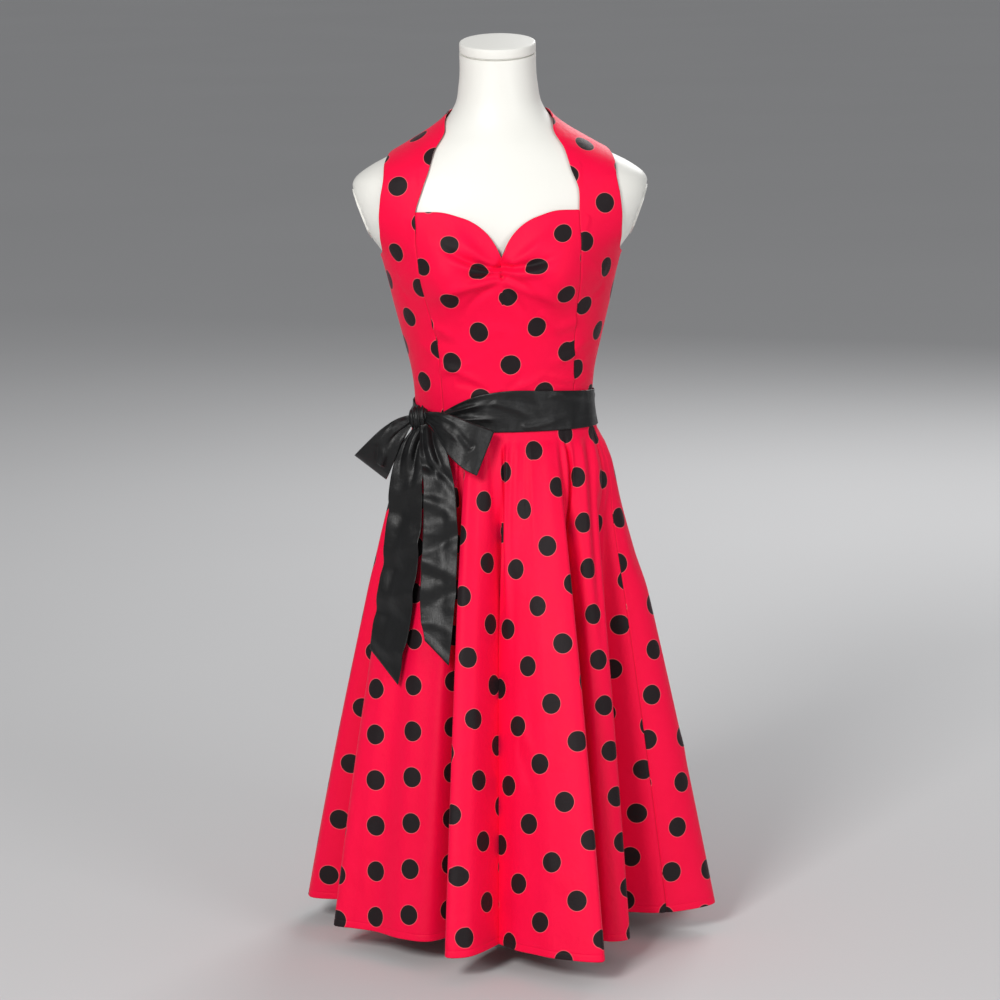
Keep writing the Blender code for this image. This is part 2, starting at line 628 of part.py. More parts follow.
def build_side_front(name, side_name, finish):
    """A side front cut in one with its strap."""
    inner_turn, inner_height, outer_turn, outer_height = side_front_rows(side_name).T[:, :, None]
    share = np.linspace(0, 1, 5)[None, :]
    turn = inner_turn + (outer_turn - inner_turn) * share
    height = inner_height + (outer_height - inner_height) * share
    side = 1 if side_name == "left" else -1
    lap = np.linspace(180, 180 + NAPE_LAP, LAP_ROWS)[:, None] + 0 * share
    turn = np.concatenate([turn, lap])
    height = np.concatenate([height, np.repeat(height[-1:], LAP_ROWS, axis=0)])
    turn = inset_edges(turn, height)
    ahead = np.clip((turn - LAP_RISE[0]) / (LAP_RISE[1] - LAP_RISE[0]), 0, 1)
    lift = np.where(side > 0, (WALL + GAP) * ahead * ahead * (3 - 2 * ahead), 0.0)[:, :, None]
    cloth_on_skin(name, side * turn, height, finish, lift)


def side_seam_heights():
    """Heights of the side seam's rows, from the waist to the underarm."""
    rows = ROW_STEPS * UNDERARM_ROW + 1
    return side_front_rows("left")[:rows, 3]


def build_back(name, side, finish):
    """A back panel, from the side seam to the centre back."""
    seam = side_seam_heights()
    share = np.linspace(0, 1, 9)[None, :]
    top = BACK_TOP + (seam[-1] - BACK_TOP) * np.cos(share * math.pi / 2) ** 1.5
    height = seam[0] + shared_rise(seam) * (top - seam[0])
    turn = SIDE_SEAM_TURN + (180 - SIDE_SEAM_TURN) * share + 0 * height
    turn = inset_edges(turn, height)
    cloth_on_skin(name, side * turn, height, finish)


# ---- the skirt -----------------------------------------------------------------------------------
def hem_and_waist():
    """Hem points, as x and y, and the waist turn that each is cut from, once round from the back."""
    turns = np.stack([column(FOLDS, FOLD_COLUMNS, name)
                      for name in ("from_turn", "to_turn", "trough_turn")], axis=1).ravel()
    reaches = np.stack([column(FOLDS, FOLD_COLUMNS, name)
                        for name in ("from_reach", "to_reach", "trough_reach")], axis=1).ravel()
    start = column(FOLDS, FOLD_COLUMNS, "from_waist")
    finish = column(FOLDS, FOLD_COLUMNS, "to_waist")
    following = np.append(start[1:], start[0] + 360)
    waist = np.stack([start, finish, (finish + following) / 2], axis=1).ravel()
    corners = np.stack([reaches * np.sin(np.radians(turns)), -reaches * np.cos(np.radians(turns))], axis=1)
    hem = closed_spline(corners, FOLD_STEPS)
    places = np.arange(len(hem)) / FOLD_STEPS
    waist_turn = np.interp(places, np.arange(len(waist) + 1), np.append(waist, waist[0] + 360))
    return hem, waist_turn


def skirt_grid(levels):
    """The skirt's outer face: a row of points for each level, from the waist down to the hem."""
    hem, waist_turn = hem_and_waist()
    rows = [over_skin(waist_turn, height, EASE + WALL) for height in (WAIST - GAP / 2, SASH_MIDDLE)]
    start = over_skin(waist_turn, FLARE_START, EASE + WALL)
    for level in levels:
        height = FLARE_START + (HEM - FLARE_START) * level
        spread = level ** FLARE_POWER
        plan = start[:, :2] + (hem - start[:, :2]) * spread
        reach = np.linalg.norm(plan, axis=1)
        turn = np.degrees(np.arctan2(plan[:, 0], -plan[:, 1]))
        air = EASE + WALL + HIP_AIR * min(level / HIP_LEVEL, 1)
        hip = section_radius(turn, max(height, TORSO_FLOOR)) + air
        plan = plan * (np.maximum(reach, hip) / reach)[:, None]
        rows.append(np.column_stack([plan, np.full(len(plan), height)]))
    return np.stack(rows)


def build_skirt(finish):
    """Front and two back panels of the skirt, parted at the side seams and the centre back."""
    outer = skirt_grid(SKIRT_LEVELS)[::-1]
    normals = grid_normals(outer, closed=True)
    inner = outer - normals * WALL
    count = outer.shape[1]
    back_seam = FOLD_STEPS // 2
    right_seam = RIGHT_SEAM * FOLD_STEPS
    left_seam = LEFT_SEAM * FOLD_STEPS
    panels = (("skirt_back_right", back_seam, right_seam), ("skirt_front", right_seam, left_seam),
              ("skirt_back_left", left_seam, back_seam + count))
    for name, first, last in panels:
        chosen = np.arange(first, last + 1) % count
        faces = []
        for grid in (outer, inner):
            panel = grid[:, chosen].copy()
            for edge, neighbour in ((0, 1), (-1, -2)):
                along = panel[:, neighbour] - panel[:, edge]
                along /= np.linalg.norm(along, axis=1, keepdims=True)
                panel[:, edge] += along * GAP / 2
            faces.append(panel)
        wall(name, faces[0], faces[1], finish)


# ---- the sash and its bow ------------------------------------------------------------------------
def build_sash(finish):
    """The band round the waist, from one side of the knot to the other."""
    turns = np.linspace(SASH[0][0], SASH[-1][0], 41)[None, :]
    top = read(SASH, SASH_COLUMNS, "top", turns)
    bottom = read(SASH, SASH_COLUMNS, "bottom", turns)
    height = bottom + (top - bottom) * np.linspace(0, 1, 3)[:, None]
    out = EASE + WALL + SASH_LIFT
    wall("sash_band", over_skin(turns, height, out + SATIN), over_skin(turns, height, out), finish)


def build_ribbon(name, rows, finish, steps=2, across=4):
    """A ribbon through its rows of two edges, of the satin's thickness."""
    edges = spline_rows(rows, steps)
    share = np.linspace(0, 1, across)[None, :, None]
    middle = edges[:, None, :3] + (edges[:, None, 3:] - edges[:, None, :3]) * share
    half = grid_normals(middle) * SATIN / 2
    wall(name, middle + half, middle - half, finish)


def build_knot(finish):
    """The knot, a rounded wrap of ribbon."""
    shape = bmesh.new()
    bmesh.ops.create_uvsphere(shape, u_segments=16, v_segments=9, radius=1.0)
    bmesh.ops.scale(shape, vec=KNOT_RADII, verts=shape.verts)
    bmesh.ops.translate(shape, vec=KNOT_CENTRE, verts=shape.verts)
    from_bmesh("bow_knot", shape, finish)


# ---- fastenings ----------------------------------------------------------------------------------
def build_zip_tape(finish):
    """The closed zip's tape, inside the centre back seam, from the back's top into the skirt."""
    skirt = skirt_grid(SKIRT_LEVELS[:ZIP_LEVELS])[::-1, FOLD_STEPS // 2]
    seam = side_seam_heights()
    bodice = seam[0] + shared_rise(seam)[:, 0] * (BACK_TOP - ZIP_DROP - seam[0])
    heights = np.concatenate([skirt[:, 2], bodice])
    depth = np.concatenate([skirt[:, 1] - WALL, over_skin(180.0, bodice, EASE)[:, 1]]) - ZIP_CLEARANCE
    across = np.linspace(-1, 1, 3)[None, :] * ZIP_TAPE_WIDTH / 2
    curve = ZIP_TAPE_BOW * (across / (ZIP_TAPE_WIDTH / 2)) ** 2
    y = depth[:, None] - curve
    z = heights[:, None] + 0 * across
    x = across + 0 * y
    outer = np.stack([x, y, z], axis=-1)
    wall("zip_tape", outer, outer - np.array([0, ZIP_TAPE, 0]), finish)


def back_depth(height):
    """Depth of the dress's outer face at the centre back."""
    return float(over_skin(180.0, height, EASE + WALL)[1])


def build_zip_pull(steel):
    """Slider with its arch, and the pull whose bar turns in the arch."""
    face = back_depth(SLIDER_HEIGHT + SLIDER_LENGTH / 2) + GAP
    plate_y = face + SLIDER_PLATE / 2
    slider = block("zip_slider", (SLIDER_WIDTH, SLIDER_PLATE, SLIDER_LENGTH),
                   (0.0, plate_y, SLIDER_HEIGHT), steel, SLIDER_EDGE)
    foot = face + SLIDER_PLATE
    half = ARCH_LENGTH / 2
    profile = ((foot - ARCH_SINK, half), (foot + ARCH_OPENING + ARCH_BAR, half),
               (foot + ARCH_OPENING + ARCH_BAR, -half), (foot - ARCH_SINK, -half),
               (foot - ARCH_SINK, -half + ARCH_BAR), (foot + ARCH_OPENING, -half + ARCH_BAR),
               (foot + ARCH_OPENING, half - ARCH_BAR), (foot - ARCH_SINK, half - ARCH_BAR))
    shape = bmesh.new()
    corners = [shape.verts.new((-ARCH_WIDTH / 2, y, SLIDER_HEIGHT + z)) for y, z in profile]
    face_made = shape.faces.new(corners)
    grown = bmesh.ops.extrude_face_region(shape, geom=[face_made])["geom"]
    bmesh.ops.translate(shape, vec=(ARCH_WIDTH, 0, 0),
                        verts=[item for item in grown if isinstance(item, bmesh.types.BMVert)])
    arch = from_bmesh("zip_slider_arch", shape, steel, smooth=False)
    arch.hide_render = True
    arch.display_type = "WIRE"
    union = slider.modifiers.new("arch", "BOOLEAN")
    union.operation = "UNION"
    union.object = arch
    axis = (0.0, foot + ARCH_OPENING / 2, SLIDER_HEIGHT - half + ARCH_BAR + ARCH_OPENING / 2)
    outer = ((-PULL_WIDTH / 2, PULL_BAR / 2), (PULL_WIDTH / 2, PULL_BAR / 2),
             (PULL_END_WIDTH / 2, -PULL_LENGTH), (-PULL_END_WIDTH / 2, -PULL_LENGTH))
    window = PULL_WIDTH / 2 - PULL_BAR
    inner = ((-window, -PULL_BAR / 2), (window, -PULL_BAR / 2),
             (window, -PULL_WINDOW), (-window, -PULL_WINDOW))
    shape = bmesh.new()
    layers = []
    for y in (-PULL_BAR / 2, PULL_BAR / 2):
        layers.append([[shape.verts.new((x, y, z)) for x, z in loop] for loop in (outer, inner)])
    for i in range(4):
        j = (i + 1) % 4
        (near_out, near_in), (far_out, far_in) = layers
        shape.faces.new((near_out[i], near_out[j], near_in[j], near_in[i]))
        shape.faces.new((far_out[j], far_out[i], far_in[i], far_in[j]))
        shape.faces.new((near_out[j], near_out[i], far_out[i], far_out[j]))
        shape.faces.new((near_in[i], near_in[j], far_in[j], far_in[i]))
    pull = from_bmesh("zip_pull", shape, steel, smooth=False)
    pull.location = axis
    return axis


def build_nape_button(finish):
    """The covered button that fastens the left strap's end on the right one's."""
    height = (STRAP[-1][1] + STRAP[-1][3]) / 2
    out = EASE + WALL + WALL + GAP + GAP
    centre = over_skin(180.0, height, out)
    normal = skin_normal(180.0, height)
    button = turned("nape_button", ((0, 0), (BUTTON_RADIUS - BUTTON_EDGE, 0), (BUTTON_RADIUS, BUTTON_EDGE),
                                    (BUTTON_RADIUS * 0.86, BUTTON_HEIGHT * 0.8),
                                    (BUTTON_RADIUS * 0.45, BUTTON_HEIGHT), (0, BUTTON_HEIGHT)), finish, 24)
    button.rotation_euler.x = -math.acos(float(normal[2]))
    button.location = centre + normal * BUTTON_SEAT


def main():
    """Build the whole model in an empty scene."""
    for thing in list(bpy.data.objects):
        bpy.data.objects.remove(thing, do_unlink=True)
    red = material("red_cotton", CRIMSON, 0.75)
    satin = material("black_satin", BLACK_SATIN, 0.32)
    white = material("form_white", WARM_WHITE, 0.45)
    stand = material("stand_grey", STAND_GREY, 0.45)
    steel = material("zip_steel", STEEL, 0.30, 1.0)
    build_form(white)
    build_stand(stand)
    build_front_centre(red)
    build_side_front("side_front_left", "left", red)
    build_side_front("side_front_right", "right", red)
    build_back("back_left", 1, red)
    build_back("back_right", -1, red)
    build_skirt(red)
    build_sash(satin)
    build_knot(satin)
    build_ribbon("bow_loop_right", BOW_LOOP_RIGHT, satin)
    build_ribbon("bow_loop_left", BOW_LOOP_LEFT, satin)
    build_ribbon("bow_tail_right", BOW_TAIL_RIGHT, satin)
    build_ribbon("bow_tail_left", BOW_TAIL_LEFT, satin)
    build_zip_tape(red)
    build_zip_pull(steel)
    build_nape_button(red)


main()
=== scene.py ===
# %% [markdown]
# # An a-line dress on its dress form
# The dress is a halter bodice of five panels and a strap each side, a circle-cut skirt in deep soft folds,
# and a satin sash tied in a bow. It stands on a low limbless form. This script makes the looks: it loads
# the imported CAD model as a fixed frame, works out each piece of cloth again on a fine grid, lays each
# flat as a paper pattern so that the printed dots keep their size, and gives every piece its finish.
#
# All sizes are metres. +Z is up, the front faces -Y, and the wearer's left is +X. A turn is an angle about
# the Z axis in degrees, from the centre front (0) towards +X (90) and the centre back (180).

# %% Load the fixed frame
import math

import bmesh
import bpy
import numpy as np
from mathutils import Matrix


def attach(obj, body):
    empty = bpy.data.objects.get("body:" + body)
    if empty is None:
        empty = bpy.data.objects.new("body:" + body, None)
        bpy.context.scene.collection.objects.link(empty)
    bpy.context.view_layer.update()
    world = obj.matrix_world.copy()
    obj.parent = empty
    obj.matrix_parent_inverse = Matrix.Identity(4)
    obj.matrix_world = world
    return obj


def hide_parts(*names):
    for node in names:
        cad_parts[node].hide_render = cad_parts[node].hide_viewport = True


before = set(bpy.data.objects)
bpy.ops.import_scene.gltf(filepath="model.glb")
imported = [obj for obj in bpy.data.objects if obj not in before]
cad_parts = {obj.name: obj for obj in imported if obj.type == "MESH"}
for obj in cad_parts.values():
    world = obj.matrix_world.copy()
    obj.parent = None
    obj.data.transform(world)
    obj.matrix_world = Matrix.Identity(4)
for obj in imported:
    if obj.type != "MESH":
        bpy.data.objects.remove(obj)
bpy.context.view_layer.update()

# %% [markdown]
# ## The camera
# A long lens from five metres keeps the dress from swelling towards the viewer. The camera looks a little
# down and leans about a degree. Its matrix is built from three directions: right, up and backwards.

# %% Camera
CAMERA_PLACE = (-0.0073, -5.0, 1.4971)
CAMERA_DOWN = math.radians(10.4)
CAMERA_LEAN = math.radians(1.03)
CAMERA_LENS, SENSOR_WIDTH = 137.88, 36.0    # millimetres
CLIP_END = 60.0


def put_in_scene(name, data):
    """A new object with this data, in the scene."""
    made = bpy.data.objects.new(name, data)
    bpy.context.scene.collection.objects.link(made)
    return made


def facing(right, up, backward, place):
    """The matrix of a thing at a place: its three directions are columns, and its place is the fourth."""
    matrix = np.eye(4)
    matrix[:3, 0], matrix[:3, 1], matrix[:3, 2], matrix[:3, 3] = right, up, backward, place
    return Matrix(matrix.tolist())


level_right = np.array([1.0, 0.0, 0.0])
level_up = np.array([0.0, math.sin(CAMERA_DOWN), math.cos(CAMERA_DOWN)])
backward = np.array([0.0, -math.cos(CAMERA_DOWN), math.sin(CAMERA_DOWN)])
right = math.cos(CAMERA_LEAN) * level_right - math.sin(CAMERA_LEAN) * level_up
up = math.sin(CAMERA_LEAN) * level_right + math.cos(CAMERA_LEAN) * level_up
camera_data = bpy.data.cameras.new("camera")
camera_data.lens = CAMERA_LENS
camera_data.sensor_width = SENSOR_WIDTH
camera_data.clip_end = CLIP_END
camera = put_in_scene("camera", camera_data)
camera.matrix_world = facing(right, up, backward, CAMERA_PLACE)
bpy.context.scene.camera = camera
bpy.context.scene.view_settings.view_transform = "Standard"
print("camera looks down", round(math.degrees(CAMERA_DOWN), 1), "degrees")

# %% [markdown]
# ## Shader maths as Python
# A material is a small program, and its nodes are the operations. Wiring them by hand is slow to read, so
# one class wraps a socket. Plus, minus, times and divided-by then add Math nodes, and one method adds any
# other node. Colours go through Mix nodes, because a Math node would turn them grey.


# %% Socket arithmetic
class Value:
    """A node's output. Arithmetic on it adds Math nodes to the same tree."""

    def __init__(self, tree, socket):
        self.tree = tree
        self.socket = socket

    def node(self, kind, settings, inputs, output=0):
        """Add a node of a type: its settings first, then the values or links of its sockets."""
        made = self.tree.nodes.new(kind)
        for name, setting in settings.items():
            setattr(made, name, setting)
        for key, value in inputs.items():
            if isinstance(value, Value):
                self.tree.links.new(value.socket, made.inputs[key])
            else:
                made.inputs[key].default_value = value
        return Value(self.tree, made.outputs[output])

    def math(self, operation, *others, clamp=False):
        """A Math node with this value first."""
        inputs = dict(enumerate((self, *others)))
        return self.node("ShaderNodeMath", {"operation": operation, "use_clamp": clamp}, inputs)

    def __add__(self, other):
        return self.math("ADD", other)

    def __radd__(self, other):
        return self.math("ADD", other)

    def __sub__(self, other):
        return self.math("SUBTRACT", other)

    def __rsub__(self, other):
        return self.node("ShaderNodeMath", {"operation": "SUBTRACT"}, {0: other, 1: self})

    def __mul__(self, other):
        return self.math("MULTIPLY", other)

    def __rmul__(self, other):
        return self.math("MULTIPLY", other)

    def __truediv__(self, other):
        return self.math("DIVIDE", other)

    def clamped(self):
        """This value, held between 0 and 1."""
        return self.math("ADD", 0.0, clamp=True)

    def stretched(self, x, y, z=1.0):
        """These coordinates with each axis multiplied by its own number."""
        return self.node("ShaderNodeMapping", {}, {"Vector": self, "Scale": (x, y, z)})

    def blend(self, one, other):
        """A colour that is one where this is 0, and other where it is 1."""
        inputs = {0: self, 6: one, 7: other}
        return self.node("ShaderNodeMix", {"data_type": "RGBA"}, inputs, 2)

    def noise(self, scale, detail=2.0, roughness=0.5):
        """Soft random values from 0 to 1 at these coordinates."""
        inputs = {"Vector": self, "Scale": scale, "Detail": detail, "Roughness": roughness}
        return self.node("ShaderNodeTexNoise", {}, inputs)


def new_finish(name, constants):
    """A Principled material: its constants are set straight on the shader. Gives it and its coordinates."""
    finish = bpy.data.materials.new(name)
    finish.use_nodes = True
    tree = finish.node_tree
    shader = tree.nodes["Principled BSDF"]
    for key, value in constants.items():
        shader.inputs[key].default_value = value
    place_node = tree.nodes.new("ShaderNodeTexCoord")
    return finish, shader, Value(tree, place_node.outputs["Object"]), Value(tree, place_node.outputs["UV"])


def connect(shader, **values):
    """Feed values into a shader's named inputs; an underscore stands for a space."""
    for name, value in values.items():
        value.tree.links.new(value.socket, shader.inputs[name.replace("_", " ")])


def bumped(height, strength, distance):
    """Normals of a surface that is raised by height times distance."""
    return height.node("ShaderNodeBump", {}, {"Height": height, "Strength": strength, "Distance": distance})


# %% [markdown]
# ## The printed cotton
# The dress is red cotton sateen with charcoal dots of 26 mm, set like the fives on dice: one dot every
# 79 mm across and 90 mm up, and one in the middle of each four. A thin pale ring shows where the two inks
# miss each other. The dots are worked out from the piece's own UV map, which holds the flat pattern in
# metres, so they bend with the cloth. The distance to the nearest dot's centre is found by wrapping the
# coordinates to one repeat, twice: once for the corners and once for the middles.

# %% Printed cotton
DOT_ACROSS = 0.079
DOT_UP = 0.090
DOT_RADIUS = 0.0131
DOT_EDGE = 0.00035
RING_RADIUS = 0.01345
RING_WIDTH = 0.00042
THREAD = 0.00055

RED = (0.900, 0.0030, 0.0560, 1.0)
RED_DEEP = (0.820, 0.0015, 0.0410, 1.0)
CHARCOAL = (0.0145, 0.0105, 0.0118, 1.0)
RING = (0.660, 0.220, 0.220, 1.0)
REVERSE = (0.520, 0.050, 0.065, 1.0)
REVERSE_DOT = (0.210, 0.020, 0.030, 1.0)


def dot_distance(across, along):
    """Distance to the nearest dot's centre: the lesser of the distances to a corner and to a middle."""

    def to_lattice(shift):
        x = (across / DOT_ACROSS + shift).math("WRAP", 0.5, -0.5) * DOT_ACROSS
        y = (along / DOT_UP + shift).math("WRAP", 0.5, -0.5) * DOT_UP
        return (x * x + y * y).math("SQRT")

    return to_lattice(0.0).math("MINIMUM", to_lattice(0.5))


def printed_cotton():
    """Red cotton with dots. Its reverse is paler, and the print shows through it faintly."""
    constants = {"Sheen Weight": 0.10, "Sheen Roughness": 0.40, "Sheen Tint": (1.0, 0.36, 0.50, 1.0),
                 "Specular IOR Level": 0.10}
    finish, shader, solid, flat = new_finish("printed_cotton", constants)
    parts = flat.tree.nodes.new("ShaderNodeSeparateXYZ")
    flat.tree.links.new(flat.socket, parts.inputs[0])
    across, along = Value(flat.tree, parts.outputs[0]), Value(flat.tree, parts.outputs[1])
    distance = dot_distance(across, along)
    dot = ((DOT_RADIUS - distance) / DOT_EDGE + 0.5).clamped()
    ring = (1.0 - (distance - RING_RADIUS).math("ABSOLUTE") / RING_WIDTH).clamped()
    inner = flat.node("ShaderNodeAttribute", {"attribute_name": "inner_face"}, {}, 2)
    cloudy = solid.noise(26.0, 3.0)
    slub = flat.stretched(2600.0, 180.0).noise(1.0, 1.0)
    red = (cloudy * 0.75 + slub * 0.35).blend(RED_DEEP, RED)
    face = dot.blend((ring * 0.75).blend(red, RING), CHARCOAL)
    back = dot.blend(REVERSE, REVERSE_DOT)
    warp = (across * (2 * math.pi / THREAD)).math("SINE")
    weft = (along * (2 * math.pi / THREAD)).math("SINE")
    crumple = solid.noise(38.0, 4.0, 0.6)
    height = warp * weft * 0.12 + slub * 0.25 + crumple * 5.5
    connect(shader, Base_Color=inner.blend(face, back), Roughness=0.42 + cloudy * 0.12 - dot * 0.03,
            Normal=bumped(height, 0.35, 0.0006))
    return finish


cotton = printed_cotton()
print("cotton nodes:", len(cotton.node_tree.nodes))

# %% [markdown]
# ## Satin, form, stand and steel
# Satin's long floating threads make a soft bright streak on a near-black ground, so its roughness is low
# but not shiny. It has a fine lengthwise rib, and a slow wave in its bump breaks the streaks up. The form
# is a smooth warm white shell that has lost a little of its gloss. The stand is powder-coated grey, with a
# fine orange-peel bump, and the zip's parts are brushed steel.


# %% Satin, form, stand and steel
def black_satin():
    """Near-black satin with a lengthwise rib, slightly uneven gloss and a slow sway along its length."""
    constants = {"Sheen Weight": 0.05, "Sheen Roughness": 0.45, "Sheen Tint": (0.75, 0.78, 0.82, 1.0),
                 "Specular IOR Level": 0.33}
    finish, shader, solid, flat = new_finish("black_satin", constants)
    sway = flat.stretched(9.0, 21.0).noise(1.0, 1.5)
    ribs = flat.stretched(3200.0, 60.0).noise(1.0, 1.0)
    cloudy = solid.noise(45.0, 3.0)
    crumple = solid.noise(85.0, 3.0, 0.55)
    colour = (cloudy * 0.6 + ribs * 0.4).blend((0.0020, 0.0020, 0.0022, 1.0), (0.0048, 0.0049, 0.0053, 1.0))
    connect(shader, Base_Color=colour, Roughness=0.30 + cloudy * 0.08 + ribs * 0.12,
            Normal=bumped(sway * 32.0 + crumple * 1.6 + ribs * 0.40, 0.50, 0.0007))
    return finish


def form_shell():
    """Warm white shell, faintly clouded."""
    constants = {"Specular IOR Level": 0.45, "Coat Weight": 0.08, "Coat Roughness": 0.35}
    finish, shader, solid, _ = new_finish("form_shell", constants)
    cloudy = solid.noise(9.0, 3.0)
    grain = solid.noise(900.0, 2.0)
    colour = cloudy.blend((0.745, 0.738, 0.690, 1.0), (0.790, 0.785, 0.745, 1.0))
    connect(shader, Base_Color=colour, Roughness=0.44 + cloudy * 0.10, Normal=bumped(grain, 0.10, 0.0002))
    return finish


def powder_coat():
    """Grey powder coat with its fine orange peel, a little rubbed."""
    finish, shader, solid, _ = new_finish("powder_coat", {"Specular IOR Level": 0.5})
    peel = solid.noise(1400.0, 2.0)
    rubbed = solid.noise(30.0, 4.0)
    colour = rubbed.blend((0.400, 0.400, 0.410, 1.0), (0.470, 0.470, 0.480, 1.0))
    connect(shader, Base_Color=colour, Roughness=0.40 + rubbed * 0.15, Normal=bumped(peel, 0.25, 0.0003))
    return finish


def brushed_steel():
    """Nickel-plated steel, brushed along its length."""
    finish, shader, solid, _ = new_finish("brushed_steel", {"Metallic": 1.0})
    brushing = solid.stretched(9000.0, 9000.0, 500.0).noise(1.0)
    colour = brushing.blend((0.480, 0.480, 0.490, 1.0), (0.660, 0.660, 0.670, 1.0))
    connect(shader, Base_Color=colour, Roughness=0.22 + brushing * 0.16,
            Normal=bumped(brushing, 0.15, 0.0001))
    return finish


satin = black_satin()
shell = form_shell()
stand_paint = powder_coat()
steel = brushed_steel()
print("finishes:", [finish.name for finish in (cotton, satin, shell, stand_paint, steel)])

# %% [markdown]
# ## Reading a table along a smooth curve
# Each piece is described by a short table with named columns, as a cutter's chart is. Between two rows the
# values follow a cubic that passes through both and leaves each row in the direction of its neighbours, so
# a few rows make a smooth line.


# %% Table and curve helpers
def column(table, names, name):
    """One named column of a table, as an array."""
    return np.array([row[names.index(name)] for row in table], dtype=float)


def smooth_read(knots, values, where):
    """Cubic between knots: each value times its own weight, plus each slope times its own weight."""
    slopes = np.gradient(values, knots)
    where = np.clip(where, knots[0], knots[-1])
    row = np.clip(np.searchsorted(knots, where, side="right") - 1, 0, len(knots) - 2)
    span = knots[row + 1] - knots[row]
    t = (where - knots[row]) / span
    start = (1 + 2 * t) * (1 - t) ** 2 * values[row] + t * (1 - t) ** 2 * span * slopes[row]
    finish = t * t * (3 - 2 * t) * values[row + 1] + t * t * (t - 1) * span * slopes[row + 1]
    return start + finish


def read(table, names, name, where):
    """A named column of a table at any value of the table's first column."""
    knots = column(table, names, names[0])
    return smooth_read(knots, column(table, names, name), np.asarray(where, dtype=float))


def spline_rows(rows, steps):
    """Rows of a table with smooth rows added between them: steps rows for each gap."""
    rows = np.asarray(rows, dtype=float)
    knots = np.arange(len(rows), dtype=float)
    where = np.linspace(0, len(rows) - 1, (len(rows) - 1) * steps + 1)
    return np.stack([smooth_read(knots, rows[:, i], where) for i in range(rows.shape[1])], axis=1)


def closed_spline(points, steps):
    """A closed curve through points, spaced by the root of their distances so that it never loops."""
    before = np.roll(points, 1, axis=0)
    after = np.roll(points, -1, axis=0)
    beyond = np.roll(points, -2, axis=0)
    t0 = np.zeros(len(points))
    t1 = t0 + np.linalg.norm(points - before, axis=1) ** 0.5
    t2 = t1 + np.linalg.norm(after - points, axis=1) ** 0.5
    t3 = t2 + np.linalg.norm(beyond - after, axis=1) ** 0.5
    pieces = []
    for step in range(steps):
        t = t1 + (t2 - t1) * step / steps

        def between(p, q, a, b):
            return (((b - t) / (b - a))[:, None] * p) + (((t - a) / (b - a))[:, None] * q)

        a1, a2, a3 = (between(before, points, t0, t1), between(points, after, t1, t2),
                      between(after, beyond, t2, t3))
        pieces.append(between(between(a1, a2, t0, t2), between(a2, a3, t1, t3), t1, t2))
    return np.stack(pieces, axis=1).reshape(-1, points.shape[1])


def ease(t):
    """From 0 to 1 with level ends: three t squared less two t cubed."""
    t = np.clip(t, 0, 1)
    return t * t * (3 - 2 * t)


def unit(vectors):
    """Vectors of length 1."""
    return vectors / np.linalg.norm(vectors, axis=-1, keepdims=True)


def turn_flat(angle):
    """The matrix that turns rows of x and y anticlockwise by an angle."""
    return np.array([[math.cos(angle), math.sin(angle)], [-math.sin(angle), math.cos(angle)]])


def running_length(grid, axis):
    """Length along each line of a grid of points, from 0 where the line starts."""
    steps = np.linalg.norm(np.diff(grid, axis=axis), axis=-1)
    return np.concatenate([np.zeros_like(steps.take([0], axis)), np.cumsum(steps, axis=axis)], axis=axis)


def grid_normals(grid, closed=False):
    """Unit normals of a grid: the step across, crossed with the step up."""
    if closed:
        across = np.roll(grid, -1, axis=1) - np.roll(grid, 1, axis=1)
    else:
        across = np.gradient(grid, axis=1)
    return unit(np.cross(across, np.gradient(grid, axis=0)))


CREASE_COLUMNS = ("from_x", "from_y", "to_x", "to_y", "bow", "width", "depth")
RISE_SHARE, FALL_START, FALL_SHARE = 0.12, 1.05, 0.65    # of a crease's length, where it rises and fades


def columns_of(table, names):
    """A table's rows as numbers, in the order of its named columns."""
    return zip(*(column(table, names, name) for name in names))


def creases(table, x, y):
    """Soft ridges (depth over 0) and troughs (under 0) along bowed lines on a chart of x and y.

    Each is its depth times a bell curve of the distance from its line over its width, times a fade from
    full strength near the line's start to nothing at its end.
    """
    raised = np.zeros(np.broadcast(x, y).shape)
    for from_x, from_y, to_x, to_y, bow, width, depth in columns_of(table, CREASE_COLUMNS):
        run_x, run_y = to_x - from_x, to_y - from_y
        length = math.hypot(run_x, run_y)
        t = ((x - from_x) * run_x + (y - from_y) * run_y) / length ** 2
        aside = ((y - from_y) * run_x - (x - from_x) * run_y) / length - bow * 4 * t * (1 - t)
        fade = ease(t / RISE_SHARE + 0.5) * ease((FALL_START - t) / FALL_SHARE)
        raised = raised + depth * np.exp(-(aside / width) ** 2) * fade
    return raised


# %% [markdown]
# ## A piece of cloth as a mesh
# Real cloth has a face, a reverse and an edge that is turned in, so it isn't one sheet of polygons. The
# outer grid is moved in along its normals for the inner face, and a middle row bulges out round the rim to
# make a soft turned edge. The Solidify modifier would do nearly this. Doing it by hand gives each vertex
# its flat-pattern UV and a value that says which face it is on, and the print needs both.


# %% Cloth mesh
RIM_FACE = 0.3               # the rim counts as mostly face


def set_chart(mesh, flat):
    """The UV map flat_pattern: each face corner takes its vertex's place on the flat chart."""
    corner = np.zeros(len(mesh.loops), dtype=np.int32)
    mesh.loops.foreach_get("vertex_index", corner)
    mesh.uv_layers.new(name="flat_pattern").data.foreach_set("uv", flat[corner].astype(np.float32).ravel())


